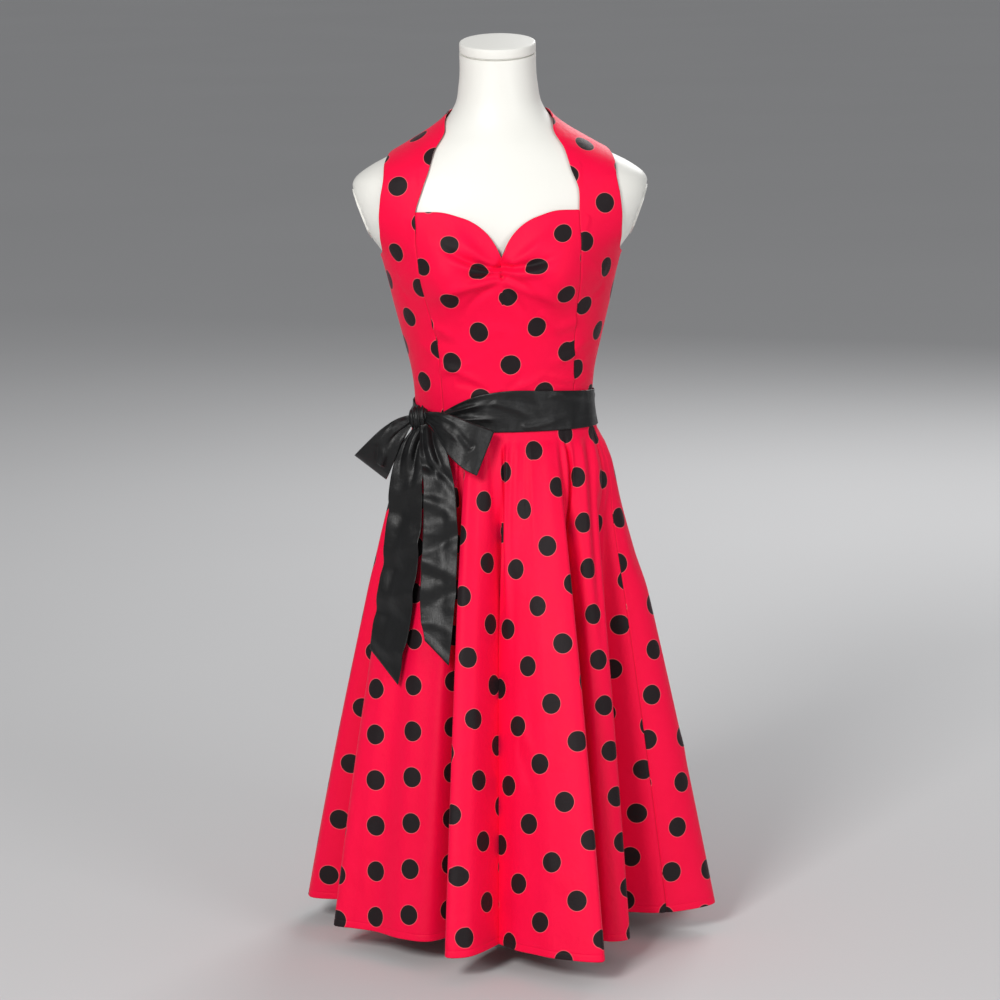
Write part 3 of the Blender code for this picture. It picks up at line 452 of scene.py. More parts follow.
def cloth_piece(name, outer, thickness, flat, finish, inner=None):
    """A closed wall behind a grid of outer points, with a rounded rim."""
    rows, columns = outer.shape[:2]
    count = rows * columns
    if inner is None:
        inner = outer - grid_normals(outer) * thickness
    index = np.arange(count).reshape(rows, columns)
    here, right_of, above, far = (part.ravel() for part in (index[:-1, :-1], index[:-1, 1:],
                                                            index[1:, :-1], index[1:, 1:]))
    outside = np.stack([here, right_of, far, above], axis=1)
    inside = outside[:, ::-1] + count
    rim = np.concatenate([index[0, :-1], index[:-1, -1], index[-1, :0:-1], index[:0:-1, 0]])
    row, place_in_row = np.divmod(rim, columns)
    behind = outer[np.clip(row, 1, rows - 2), np.clip(place_in_row, 1, columns - 2)]
    edge_outer, edge_inner = outer.reshape(-1, 3)[rim], inner.reshape(-1, 3)[rim]
    half = np.linalg.norm(edge_outer - edge_inner, axis=1, keepdims=True) / 2
    middle = (edge_outer + edge_inner) / 2 + unit(edge_outer - behind) * half
    after = np.roll(rim, -1)
    rim_middle = 2 * count + np.arange(len(rim))
    after_middle = np.roll(rim_middle, -1)
    edge = np.concatenate([np.stack([after, rim, rim_middle, after_middle], axis=1),
                           np.stack([after_middle, rim_middle, rim + count, after + count], axis=1)])
    points = np.concatenate([outer.reshape(-1, 3), inner.reshape(-1, 3), middle])
    faces = np.concatenate([outside, inside, edge])
    mesh = bpy.data.meshes.new(name)
    mesh.from_pydata(points.tolist(), [], faces.tolist())
    flat = flat.reshape(-1, 2)
    set_chart(mesh, np.concatenate([flat, flat, flat[rim]]))
    inner_face = mesh.attributes.new("inner_face", "FLOAT", "POINT")
    which = np.concatenate([np.zeros(count), np.ones(count), np.full(len(rim), RIM_FACE)])
    inner_face.data.foreach_set("value", which.astype(np.float32))
    mesh.shade_smooth()
    mesh.materials.append(finish)
    return put_in_scene(name, mesh)


def grid_area(grid):
    """Area of a grid: half the cross products of each square's diagonals, added up."""
    one = grid[1:, 1:] - grid[:-1, :-1]
    other = grid[1:, :-1] - grid[:-1, 1:]
    return float(np.linalg.norm(np.cross(one, other), axis=-1).sum() / 2)


# %% [markdown]
# ## Laying a panel flat
# A bodice panel is cut flat and takes its shape from its seams. To print dots of an even size, the curved
# panel is laid flat again: a coarse net of it starts as a rough chart, and each of its short threads then
# pulls or pushes its two ends until it has its true length. A few thousand small pulls settle it, which is
# how a maker drafts a pattern from a form with tissue. Blender's Unwrap does a like job, but the net is
# exact in metres and keeps the grain upright.


# %% Flattening
FLATTEN_PULLS = 1500
SKIRT_PULLS = 900
PULL_STRENGTH = 1.6
NET_STEP = 4                 # rows and columns of the fine grid from one thread of the net to the next


def net_threads(rows, columns):
    """Pairs of net points that are joined: along rows, up columns and along both diagonals."""
    index = np.arange(rows * columns).reshape(rows, columns)
    pairs = ((index[:, :-1], index[:, 1:]), (index[:-1], index[1:]),
             (index[:-1, :-1], index[1:, 1:]), (index[:-1, 1:], index[1:, :-1]))
    return np.concatenate([np.stack([a.ravel(), b.ravel()], axis=1) for a, b in pairs])


def relax(chart, solid, pulls_made):
    """Move flat net points until the threads between them have the lengths that they have in space."""
    rows, columns = chart.shape[:2]
    threads = net_threads(rows, columns)
    solid, chart = solid.reshape(-1, 3), chart.reshape(-1, 2)
    lengths = np.linalg.norm(solid[threads[:, 1]] - solid[threads[:, 0]], axis=1)
    tied = np.bincount(threads.ravel(), minlength=len(chart))[:, None]
    for _ in range(pulls_made):
        run = chart[threads[:, 1]] - chart[threads[:, 0]]
        now = np.linalg.norm(run, axis=1)
        step = run * ((now - lengths) / np.maximum(now, 1e-9) / 2)[:, None]
        moved = np.stack([np.bincount(threads[:, 0], step[:, i], len(chart))
                          - np.bincount(threads[:, 1], step[:, i], len(chart)) for i in (0, 1)], axis=1)
        chart = chart + PULL_STRENGTH * moved / tied
    return chart.reshape(rows, columns, 2)


def read_rows(knots, values, where):
    """Rows of a grid at any place between its rows: each column follows its own smooth curve."""
    flat = values.reshape(len(knots), -1)
    made = np.stack([smooth_read(knots, flat[:, i], where) for i in range(flat.shape[1])], axis=1)
    return made.reshape((len(where),) + values.shape[1:])


def refined(net, net_rows, net_columns, rows, columns):
    """A coarse chart read on the fine grid: first along its rows, then along its columns."""
    fine = read_rows(net_rows, net, rows)
    return read_rows(net_columns, fine.transpose(1, 0, 2), columns).transpose(1, 0, 2)


def flat_pattern(grid, every):
    """Flat chart of a panel in metres, worked out on each every-th row and column."""
    net = grid[::every, ::every]
    centre = net.shape[1] // 2
    across, rise = running_length(net, 1), running_length(net[:, centre], 0)
    chart = np.stack([across - across[:, centre:centre + 1], rise[:, None] + 0 * across], axis=-1)
    chart = relax(chart, net, FLATTEN_PULLS)
    grain = chart[len(net) // 3, centre] - chart[0, centre]
    chart = (chart - chart[0, centre]) @ turn_flat(math.atan2(grain[0], grain[1]))
    rows, columns = np.arange(grid.shape[0], dtype=float), np.arange(grid.shape[1], dtype=float)
    return refined(chart, rows[::every], columns[::every], rows, columns)


# %% [markdown]
# ## The form's skin
# The form is a stack of level sections, each a rounded oval with its own depth in front and behind, and two
# soft mounds for the bust. The cloth follows the same surface, a little way out, but it bridges from mound
# to mound and is gathered in at the centre. Sampling the skin by turn and height makes every panel's shape
# a matter of choosing turns and heights.

# %% Form and cloth surface
WALL = 0.0015                # the dress cloth with its seam allowances
EASE = 0.0028                # air between the form and the cloth that it carries
HEM = 0.035
WAIST = 0.708
TORSO_FLOOR = 0.548

BODY_COLUMNS = ("height", "half_width", "front", "back", "square")
BODY = (
    (0.548, 0.1290, 0.0930, 0.1000, 2.2),
    (0.600, 0.1340, 0.0960, 0.1060, 2.2),
    (0.650, 0.1250, 0.0900, 0.0960, 2.1),
    (0.690, 0.1155, 0.0850, 0.0840, 2.0),
    (0.715, 0.1130, 0.0840, 0.0800, 2.0),
    (0.755, 0.1160, 0.0860, 0.0830, 2.0),
    (0.800, 0.1262, 0.0920, 0.0900, 2.1),
    (0.850, 0.1385, 0.0970, 0.0970, 2.2),
    (0.890, 0.1478, 0.0990, 0.1010, 2.2),
    (0.912, 0.1545, 0.0995, 0.1025, 2.2),
    (0.940, 0.1740, 0.0985, 0.1030, 2.2),
    (0.970, 0.1890, 0.0940, 0.1010, 2.2),
    (0.995, 0.1935, 0.0880, 0.0960, 2.2),
    (1.012, 0.1880, 0.0830, 0.0910, 2.2),
    (1.026, 0.1690, 0.0780, 0.0850, 2.2),
    (1.042, 0.1380, 0.0720, 0.0790, 2.2),
    (1.058, 0.1100, 0.0660, 0.0720, 2.1),
    (1.072, 0.0870, 0.0600, 0.0660, 2.0),
    (1.086, 0.0690, 0.0550, 0.0600, 2.0),
    (1.104, 0.0570, 0.0515, 0.0550, 2.0),
    (1.130, 0.0515, 0.0498, 0.0515, 2.0),
    (1.190, 0.0500, 0.0495, 0.0500, 2.0),
)
BUST_SIDE, BUST_HEIGHT, BUST_DEPTH, BUST_SPREAD = 0.078, 0.893, 0.033, 0.046
BUST_ABOVE, BUST_BELOW, CUP_EASE = 0.056, 0.042, 0.0015
BRIDGE_DEPTH, BRIDGE_SPREAD = 0.010, 0.040
PINCH_HEIGHT, PINCH_DEPTH, PINCH_WIDTH, PINCH_RISE = 0.900, 0.006, 0.022, 0.014
TURN_STEP, HEIGHT_STEP = 0.2, 0.0005         # for measuring the surface's slopes


def mounds(x, height):
    """The two mounds of the bust: a bell curve of the height times one of the distance from each top."""
    rise = np.where(height > BUST_HEIGHT, BUST_ABOVE, BUST_BELOW)
    level = np.exp(-((height - BUST_HEIGHT) / rise) ** 2)
    left, right = (np.exp(-((x - side * BUST_SIDE) / BUST_SPREAD) ** 2) for side in (1, -1))
    return level * (left + right)


def cloth_bridge(x, height):
    """How far the cloth spans out between the mounds, less its pinch at the centre."""
    rise = np.where(height > BUST_HEIGHT, BUST_ABOVE, BUST_BELOW)
    span = BRIDGE_DEPTH * np.exp(-(x / BRIDGE_SPREAD) ** 2 - ((height - BUST_HEIGHT) / rise) ** 2)
    return span - PINCH_DEPTH * np.exp(-(x / PINCH_WIDTH) ** 2 - ((height - PINCH_HEIGHT) / PINCH_RISE) ** 2)


def section_radius(turn, height):
    """Radius of the oval: the sum of sine over width and cosine over depth, each to a power, rooted."""
    angle = np.radians(turn)
    half_width, front, back, square = (read(BODY, BODY_COLUMNS, name, height) for name in BODY_COLUMNS[1:])
    depth = np.where(np.cos(angle) > 0, front, back)
    wide = (np.abs(np.sin(angle)) / half_width) ** square
    deep = (np.abs(np.cos(angle)) / depth) ** square
    return (wide + deep) ** (-1 / square)


def skin(turn, height, bridged=False):
    """Points on the form, or with bridged on the smoother surface that the cloth follows."""
    turn, height = np.broadcast_arrays(np.asarray(turn, dtype=float), np.asarray(height, dtype=float))
    radius = section_radius(turn, height)
    angle = np.radians(turn)
    x = radius * np.sin(angle)
    frontal = np.clip(np.cos(angle), 0, 1) ** 0.5
    if bridged:
        out = (BUST_DEPTH + CUP_EASE) * mounds(x, height) + cloth_bridge(x, height)
    else:
        out = BUST_DEPTH * mounds(x, height)
    return np.stack([x, -radius * np.cos(angle) - out * frontal, height], axis=-1)


def skin_normal(turn, height):
    """Outward unit normals of the surface that the cloth follows, from two small steps."""
    across = skin(turn + TURN_STEP, height, True) - skin(turn - TURN_STEP, height, True)
    along = skin(turn, height + HEIGHT_STEP, True) - skin(turn, height - HEIGHT_STEP, True)
    return unit(np.cross(across, along))


def over_skin(turn, height, out):
    """Points on the cloth's surface moved out along its normals; out may vary from point to point."""
    turn, height = np.broadcast_arrays(np.asarray(turn, dtype=float), np.asarray(height, dtype=float))
    out = np.asarray(out, dtype=float)
    out = out[..., None] if out.ndim else out
    return skin(turn, height, True) + out * skin_normal(turn, height)


def front_turn(x, height):
    """The turn at which the front of the form is x from the centre."""
    half_width, front, _, square = (read(BODY, BODY_COLUMNS, name, height) for name in BODY_COLUMNS[1:])
    depth = front * (1 - (np.abs(x) / half_width) ** square) ** (1 / square)
    return np.degrees(np.arctan2(x, depth))


print("waist round the form, metres:",
      round(float(np.linalg.norm(np.diff(skin(np.linspace(0, 360, 361), WAIST), axis=0), axis=1).sum()), 3))

# %% [markdown]
# ## The dress form
# The torso is a moulded shell, cut flat at the neck and the arms, and a turned cap closes the neck above a
# shadow line. The shell is a fine grid of the same skin. The three cuts need crisp outlines where no grid
# line runs, so a bmesh plane cut makes them, and their edges are shaded sharp.

# %% Torso
TORSO_SIDES, TORSO_ROWS, TORSO_TOP = 180, 200, 1.190
NECK_TOP = 1.1705
NECK_TILT = math.radians(9.3)
ARM_CUT_SIDE, ARM_CUT_HEIGHT, ARM_CUT_FLOOR = 0.1880, 0.9900, 0.905
ARM_CUT_TILT = math.radians(20.0)
SHARP_ANGLE = math.radians(38)
SAME_PLACE, SLIVER = 1e-6, 0.0004            # corners on the plane, and corners that a cut leaves too close


def cut_flat(shape, point, normal):
    """Cut away what lies past a plane, from the arm's floor up, and close the cut.

    Edges and corners go in dicts, not sets, so that each run lists them in the same order.
    """
    faces = [face for face in shape.faces if min(corner.co.z for corner in face.verts) > ARM_CUT_FLOOR]
    edges = dict.fromkeys(edge for face in faces for edge in face.edges)
    corners = dict.fromkeys(corner for face in faces for corner in face.verts)
    cut = bmesh.ops.bisect_plane(shape, geom=[*corners, *edges, *faces], plane_co=point,
                                 plane_no=normal, clear_outer=True, dist=SAME_PLACE)
    rim = [item for item in cut["geom_cut"] if isinstance(item, bmesh.types.BMEdge)]
    bmesh.ops.contextual_create(shape, geom=rim)


def ring_faces(rows, columns):
    """Points of a grid that closes on itself, the next point round for each, and the faces between rows."""
    index = np.arange(rows * columns).reshape(rows, columns)
    after = np.roll(index, -1, axis=1)
    faces = np.stack([index[:-1], after[:-1], after[1:], index[1:]], axis=-1).reshape(-1, 4)
    return index, after, faces.tolist()


def tipped_rings(name, rings, tips, finish):
    """A closed skin: rings of points, with a fan of faces from the first and last ring to its tip."""
    index, after, faces = ring_faces(*rings.shape[:2])
    fans = [(index.size, b, a) for a, b in zip(index[0].tolist(), after[0].tolist())]
    fans += [(index.size + 1, a, b) for a, b in zip(index[-1].tolist(), after[-1].tolist())]
    mesh = bpy.data.meshes.new(name)
    mesh.from_pydata(np.concatenate([rings.reshape(-1, 3), tips]).tolist(), [], faces + fans)
    mesh.shade_smooth()
    mesh.materials.append(finish)
    return put_in_scene(name, mesh)


def make_torso():
    """The torso: rings of skin, closed below, cut flat at the neck and arms."""
    turns = np.linspace(0, 360, TORSO_SIDES, endpoint=False)
    heights = np.linspace(TORSO_FLOOR, TORSO_TOP, TORSO_ROWS)
    points = skin(turns[None, :], heights[:, None])
    index, _, faces = ring_faces(*points.shape[:2])
    mesh = bpy.data.meshes.new("torso_shell")
    ends = [index[0, ::-1].tolist(), index[-1].tolist()]
    mesh.from_pydata(points.reshape(-1, 3).tolist(), [], faces + ends)
    shape = bmesh.new()
    shape.from_mesh(mesh)
    for side in (1, -1):
        cut_flat(shape, (side * ARM_CUT_SIDE, 0.0, ARM_CUT_HEIGHT),
                 (side * math.cos(ARM_CUT_TILT), 0.0, -math.sin(ARM_CUT_TILT)))
    cut_flat(shape, (0.0, 0.0, NECK_TOP), (0.0, -math.sin(NECK_TILT), math.cos(NECK_TILT)))
    bmesh.ops.remove_doubles(shape, verts=shape.verts, dist=SLIVER)
    bmesh.ops.recalc_face_normals(shape, faces=shape.faces)
    shape.to_mesh(mesh)
    shape.free()
    mesh.shade_smooth()
    mesh.set_sharp_from_angle(angle=SHARP_ANGLE)
    mesh.materials.append(shell)
    return put_in_scene("torso_shell", mesh)


def stand_for(piece, node, slot):
    """Ride a piece on the dress and let it stand for its CAD node, which is hidden. Its slot is not used."""
    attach(piece, "dress")
    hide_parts(node)


torso = make_torso()
stand_for(torso, "form_torso", "form")
print("torso faces:", len(torso.data.polygons))

# %% [markdown]
# ## Turned parts
# The neck cap, the pole, its socket and the round base are all turned on a lathe. A profile of radius and
# height, rounded at its corners, is swept once round the axis. The Screw modifier would sweep it too, but
# rings with a tip at each end are just as short, give clean faces and serve for the bow's knot as well.


# %% Turned parts
CORNER_ANGLE = math.radians(50)
LONGEST_ROUND = 0.45         # of the shorter side at a corner
DISC_SIDES, SOCKET_SIDES, POLE_SIDES = 128, 64, 48


def rounded_profile(corners, radius, steps=5):
    """A profile whose inner corners are replaced by short curves, each a quadratic between its sides."""
    corners = np.asarray(corners, dtype=float)
    points = [corners[:1]]
    for before, corner, after in zip(corners, corners[1:], corners[2:]):
        reach = min(radius, *(LONGEST_ROUND * np.linalg.norm(side - corner) for side in (before, after)))
        start = corner + unit(before - corner) * reach
        finish = corner + unit(after - corner) * reach
        t = np.linspace(0, 1, steps)[:, None]
        points.append((1 - t) ** 2 * start + 2 * t * (1 - t) * corner + t * t * finish)
    return np.concatenate([*points, corners[-1:]])


def turned(name, profile, finish, sides, placing=None):
    """A solid of revolution from a profile of radius and height, from pole to pole, bottom to top."""
    angle = np.linspace(0, 2 * math.pi, sides, endpoint=False)[None, :]
    radius, height = profile[1:-1, 0:1], profile[1:-1, 1:2]
    rings = np.stack([radius * np.cos(angle), radius * np.sin(angle), height + 0 * angle], axis=-1)
    tips = np.array([[0, 0, profile[0, 1]], [0, 0, profile[-1, 1]]])
    if placing is not None:
        rings, tips = (points @ placing[0].T + placing[1] for points in (rings, tips))
    made = tipped_rings(name, rings, tips, finish)
    made.data.set_sharp_from_angle(angle=CORNER_ANGLE)
    return made


def turn_about_x(angle):
    """The matrix of a turn about the X axis."""
    cosine, sine = math.cos(angle), math.sin(angle)
    return np.array([[1, 0, 0], [0, cosine, -sine], [0, sine, cosine]])


CAP_RADIUS, CAP_HEIGHT, CAP_ROUND = 0.0497, 0.0150, 0.0030
CAP_FOOT, LINE_RADIUS, LINE_TOP, CAP_EDGE = 0.0003, CAP_RADIUS - 0.0025, 0.0018, 0.0022
cap_profile = ((0, CAP_FOOT), (LINE_RADIUS, CAP_FOOT), (LINE_RADIUS, LINE_TOP), (CAP_RADIUS, CAP_EDGE),
               (CAP_RADIUS, CAP_HEIGHT), (0, CAP_HEIGHT))
neck_cap = turned("neck_cap_turned", rounded_profile(cap_profile, CAP_ROUND), shell, DISC_SIDES,
                  (turn_about_x(NECK_TILT), np.array([0, 0, NECK_TOP])))

POLE_RADIUS, POLE_ROUND = 0.0125, 0.0004
BASE_RADIUS, BASE_HEIGHT, BASE_ROUND = 0.125, 0.012, 0.005
SOCKET_FOOT_RADIUS, SOCKET_RADIUS, SOCKET_HEIGHT, SOCKET_FLARE = 0.021, 0.024, 0.020, 0.004
SOCKET_ROUND, PIECE_GAP = 0.002, 0.0003
socket_top = TORSO_FLOOR - PIECE_GAP
socket_foot = socket_top - SOCKET_HEIGHT
base_profile = ((0, 0), (BASE_RADIUS, 0), (BASE_RADIUS, BASE_HEIGHT), (0, BASE_HEIGHT))
pole_profile = ((0, BASE_HEIGHT), (POLE_RADIUS, BASE_HEIGHT), (POLE_RADIUS, socket_foot), (0, socket_foot))
socket_profile = ((0, socket_foot), (SOCKET_FOOT_RADIUS, socket_foot),
                  (SOCKET_RADIUS, socket_foot + SOCKET_FLARE), (SOCKET_RADIUS, socket_top), (0, socket_top))
base = turned("base_plate", rounded_profile(base_profile, BASE_ROUND), stand_paint, DISC_SIDES)
pole = turned("pole_tube", rounded_profile(pole_profile, POLE_ROUND), stand_paint, POLE_SIDES)
socket = turned("socket_collar", rounded_profile(socket_profile, SOCKET_ROUND), stand_paint, SOCKET_SIDES)
for piece, node, slot in ((neck_cap, "neck_cap", "form"), (base, "stand_base", "stand"),
                          (pole, "stand_pole", "stand"), (socket, "pole_socket", "stand")):
    stand_for(piece, node, slot)
for side in ("left", "right"):
    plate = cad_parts["arm_plate_" + side]
    plate.material_slots[0].material = shell
print("turned parts:", [piece.name for piece in (neck_cap, base, pole, socket)])

# %% [markdown]
# ## The bodice
# The front has a centre panel under a heart-shaped neckline, gathered at a point between the cups, and a
# side front on each side that is cut in one with its halter strap. Each panel is a grid of turns and
# heights on the cloth's surface. Its creases are soft ridges and troughs drawn as lines on a chart
# of metres across the front and up. They fan out from the gathering point, and a few short ones show where
# the cloth is strained at the waist and under the arms.

# %% Bodice tables
PRINCESS_COLUMNS = ("height", "right", "left")
PRINCESS = (
    (0.690, 0.0765, 0.0880),
    (0.735, 0.0780, 0.0890),
    (0.800, 0.0830, 0.0910),
    (0.835, 0.0900, 0.0935),
    (0.870, 0.0990, 0.0970),
    (0.905, 0.1050, 0.1000),
    (0.972, 0.1085, 0.1005),
)
NECKLINE_COLUMNS = ("share", "height")
NECKLINE = (
    (0.00, 0.9150),
    (0.06, 0.9270),
    (0.15, 0.9400),
    (0.28, 0.9520),
    (0.42, 0.9605),
    (0.58, 0.9665),
    (0.75, 0.9715),
    (1.00, 0.9720),
)
SIDE_COLUMNS = ("seam_height", "outer_turn", "outer_height")
SIDE = (
    (0.708, 90.0, 0.708),
    (0.750, 90.0, 0.748),
    (0.800, 90.0, 0.792),
    (0.850, 90.0, 0.832),
    (0.890, 90.0, 0.868),
    (0.925, 90.0, 0.905),
    (0.950, 77.0, 0.920),
    (0.972, 71.5, 0.942),
)
UNDERARM_ROW = 5
SIDE_SEAM_TURN = 90.0
STRAP_COLUMNS = ("inner_turn", "inner_height", "outer_turn", "outer_height")
STRAP = (
    (52.5, 0.998, 69.5, 0.968),
    (52.5, 1.022, 69.0, 0.992),
    (56.0, 1.047, 70.5, 1.015),
    (62.0, 1.072, 79.0, 1.034),
    (90.0, 1.091, 92.0, 1.0425),
    (120.0, 1.095, 118.0, 1.050),
    (150.0, 1.096, 147.0, 1.062),
    (171.0, 1.095, 171.0, 1.068),
)
NAPE_LAP, LAP_ROWS = 9.0, 16
LAP_TURN, LAP_RISE, LAP_GAP = 150.0, 18.0, 0.0003     # where the left strap rises over the right one
STRAP_TURN, FAR_AWAY = 100.0, 10.0    # past this turn the strap is smooth: it is put far from every crease
RIGHT_SIDE, RIGHT_BACK = 0.8, 0.7     # the right side's creases are this much of the left side's
BACK_TOP = 0.868
ROW_STEPS = 12
CENTRE_COLUMNS, SIDE_FRONT_COLUMNS, BACK_COLUMNS = 121, 33, 65
SEAM_INSET = 0.00070         # a panel's rounded edge ends on its seam
BODICE_ALLOWANCE, SKIRT_ALLOWANCE = 0.03, 0.02        # both seams of a panel together
CUT_OVER_SEEN = 1.12         # cloth that is cut for each part of it that is seen

# Creases of the front panels, on a chart of x and height. The first ones fan out from the gather.
FRONT_CREASES = (
    (0.002, 0.9000, -0.0900, 0.9400, 0.007, 0.0050, -0.0068),
    (0.002, 0.8960, -0.0740, 0.9180, 0.006, 0.0060, 0.0082),
    (0.002, 0.8900, -0.0640, 0.8790, -0.006, 0.0044, -0.0066),
    (0.002, 0.8860, -0.0940, 0.8600, -0.009, 0.0070, 0.0066),
    (0.000, 0.8840, -0.0540, 0.8400, -0.006, 0.0052, -0.0034),
    (-0.010, 0.9040, -0.0620, 0.9500, 0.004, 0.0080, 0.0050),
    (0.000, 0.9030, 0.0840, 0.9230, -0.006, 0.0050, -0.0060),
    (0.000, 0.8970, 0.0740, 0.9030, -0.004, 0.0062, 0.0080),
    (0.000, 0.8910, 0.0560, 0.8640, 0.004, 0.0044, -0.0064),
    (0.002, 0.8870, 0.0800, 0.8490, 0.006, 0.0068, 0.0058),
    (0.001, 0.8840, 0.0320, 0.8320, 0.002, 0.0050, -0.0032),
    (0.012, 0.9070, 0.0680, 0.9480, -0.004, 0.0080, 0.0048),
    (0.000, 0.9150, 0.0000, 0.8900, 0.000, 0.0042, -0.0030),
    (-0.097, 0.8280, -0.0560, 0.8060, 0.003, 0.0052, 0.0026),
    (-0.096, 0.8060, -0.0500, 0.7960, 0.002, 0.0050, -0.0020),
    (0.048, 0.8440, 0.0740, 0.8060, 0.003, 0.0048, 0.0026),
    (0.104, 0.7860, 0.0520, 0.7680, -0.003, 0.0058, 0.0028),
    (-0.078, 0.7720, -0.0180, 0.7440, 0.003, 0.0040, 0.0028),
    (-0.060, 0.7500, -0.0120, 0.7360, 0.002, 0.0034, -0.0020),
    (0.090, 0.7480, 0.0420, 0.7640, 0.002, 0.0040, 0.0022),
    (-0.094, 0.7620, -0.0300, 0.7800, -0.003, 0.0056, 0.0026),
    (0.098, 0.8300, 0.0500, 0.8180, 0.003, 0.0066, 0.0022),
    (0.020, 0.7440, 0.0580, 0.7650, -0.002, 0.0044, 0.0020),
    (0.004, 0.7420, 0.0320, 0.7700, -0.002, 0.0040, -0.0014),
    (-0.030, 0.8200, 0.0260, 0.8120, 0.004, 0.0090, 0.0014),
)
# Creases of the side fronts and straps: distance from the centre front along the body, and height.
SIDE_CREASES = (
    (0.168, 0.8900, 0.1220, 0.9150, 0.004, 0.0060, 0.0016),
    (0.166, 0.8720, 0.1260, 0.8620, 0.003, 0.0050, -0.0012),
    (0.160, 0.7480, 0.1120, 0.7640, 0.003, 0.0050, 0.0014),
    (0.160, 0.7340, 0.1180, 0.7400, 0.002, 0.0040, -0.0011),
    (0.104, 0.7860, 0.1420, 0.8000, 0.003, 0.0060, 0.0011),
    (0.130, 0.9640, 0.1120, 0.9350, 0.003, 0.0050, 0.0012),
    (0.112, 1.0050, 0.1080, 0.9660, -0.002, 0.0040, -0.0010),
    (0.120, 1.0300, 0.1120, 0.9900, 0.002, 0.0045, 0.0010),
)
# Creases of the backs, on a chart of turn over 1000 and height.
BACK_CREASES = (
    (0.098, 0.7420, 0.136, 0.7530, 0.002, 0.0045, 0.0015),
    (0.100, 0.7280, 0.140, 0.7330, 0.002, 0.0040, -0.0012),
    (0.172, 0.7560, 0.142, 0.7700, 0.003, 0.0050, 0.0013),
    (0.174, 0.7800, 0.150, 0.7860, 0.002, 0.0050, -0.0010),
    (0.100, 0.8400, 0.128, 0.8220, 0.003, 0.0060, 0.0013),
    (0.176, 0.8460, 0.150, 0.8340, 0.002, 0.0045, 0.0010),
)


# %% Bodice panels
def side_front_rows(side_name):
    """Edges of a side front with its strap, from waist to nape: inner and outer turn and height."""
    seam = column(SIDE, SIDE_COLUMNS, "seam_height")
    from_centre = read(PRINCESS, PRINCESS_COLUMNS, side_name, seam)
    low = np.stack([front_turn(from_centre, seam), seam, column(SIDE, SIDE_COLUMNS, "outer_turn"),
                    column(SIDE, SIDE_COLUMNS, "outer_height")], axis=1)
    rows = spline_rows(np.concatenate([low, np.array(STRAP)]), ROW_STEPS)
    rows[:ROW_STEPS * UNDERARM_ROW + 1, 2] = SIDE_SEAM_TURN
    return rows


def inset_edges(turn, height):
    """Draw a panel's long edges in by its rounded edge, along its rows, and the next columns by half."""
    turn = turn.copy()
    points = over_skin(turn, height, EASE + WALL)
    for edge, beside, inner in ((0, 1, 3), (-1, -2, -4)):
        width = np.linalg.norm(points[:, inner] - points[:, edge], axis=1)
        shift = (turn[:, inner] - turn[:, edge]) * SEAM_INSET / width
        turn[:, edge] += shift
        turn[:, beside] += shift / 2
    return turn


def shared_rise(seam_height):
    """Share of the way up that each row of a seam is, for the panel on the seam's other side."""
    return ((seam_height - seam_height[0]) / (seam_height[-1] - seam_height[0]))[:, None]


def sew_on(piece, node, area):
    """Stand a cloth piece for its CAD node. Its area is not used."""
    stand_for(piece, node, "cotton" if piece.data.materials[0] == cotton else "satin")
    "stretched" if node in FITTED else "hung"


FITTED = ("front_centre", "side_front_left", "side_front_right", "back_left", "back_right", "sash_band")
# Where each panel's chart sits on the print: across and up, in metres, and its lean in degrees.
PRINT_PLACE = {
    "front_centre": (0.066, 0.024, -3.0),
    "side_front_left": (0.063, 0.078, -6.0),
    "side_front_right": (0.033, 0.006, 2.0),
    "back_left": (0.015, 0.010, 2.0),
    "back_right": (0.030, 0.040, -2.0),
    "skirt_front": (0.066, 0.018, -83.0),
    "skirt_front_far": (0.042, 0.009, -100.0),
    "skirt_back_left": (0.024, 0.009, -62.0),
    "skirt_back_right": (0.060, 0.018, 48.0),
}

# The gather takes up cloth, so near it the print is drawn: where, over what reach, and how far it moves.
PULL_COLUMNS = ("x", "height", "reach", "across", "up")
PRINT_PULLS = (
    (0.076, 0.958, 0.052, 0.0190, -0.0160),
    (-0.062, 0.952, 0.046, -0.0040, -0.0185),
    (0.046, 0.903, 0.030, 0.0070, 0.0020),
    (0.006, 0.862, 0.026, 0.0040, 0.0060),
    (0.084, 0.866, 0.030, 0.0060, -0.0050),
)


def drawn_print(x, height):
    """How far the gather draws the print at each place of the front panel, across and up."""
    moved = np.zeros(x.shape + (2,))
    for at_x, at_height, reach, across, up in columns_of(PRINT_PULLS, PULL_COLUMNS):
        near = np.exp(-((x - at_x) ** 2 + (height - at_height) ** 2) / reach ** 2)
        moved = moved + near[..., None] * np.array([across, up])
    return moved


def on_print(node, chart):
    """A panel's chart leaned and moved to its place on the printed cloth."""
    across, upward, lean = PRINT_PLACE[node]
    return chart @ turn_flat(math.radians(lean)) + np.array([across, upward])


def cut_size(chart, allowance):
    """Width and height of a flat piece with its seam allowances, to the millimetre."""
    return tuple(round(float(side) + allowance, 3) for side in np.ptp(chart.reshape(-1, 2), axis=0))


def bodice_panel(node, turn, height, raised, lift=0.0, drawn=0.0):
    """A panel on the cloth's surface, raised by its creases, with its flat chart."""
    outer = over_skin(turn, height, EASE + WALL + lift + raised)
    inner = over_skin(turn, height, EASE + lift + raised)
    chart = flat_pattern(outer, NET_STEP)
    piece = cloth_piece(node + "_cloth", outer, WALL, on_print(node, chart) - drawn, cotton, inner)
    size, area = cut_size(chart, BODICE_ALLOWANCE), grid_area(outer)
    sew_on(piece, node, round(min(area * CUT_OVER_SEEN, size[0] * size[1]), 4))
    print(node, "cut, metres:", size, "area:", round(area, 4))


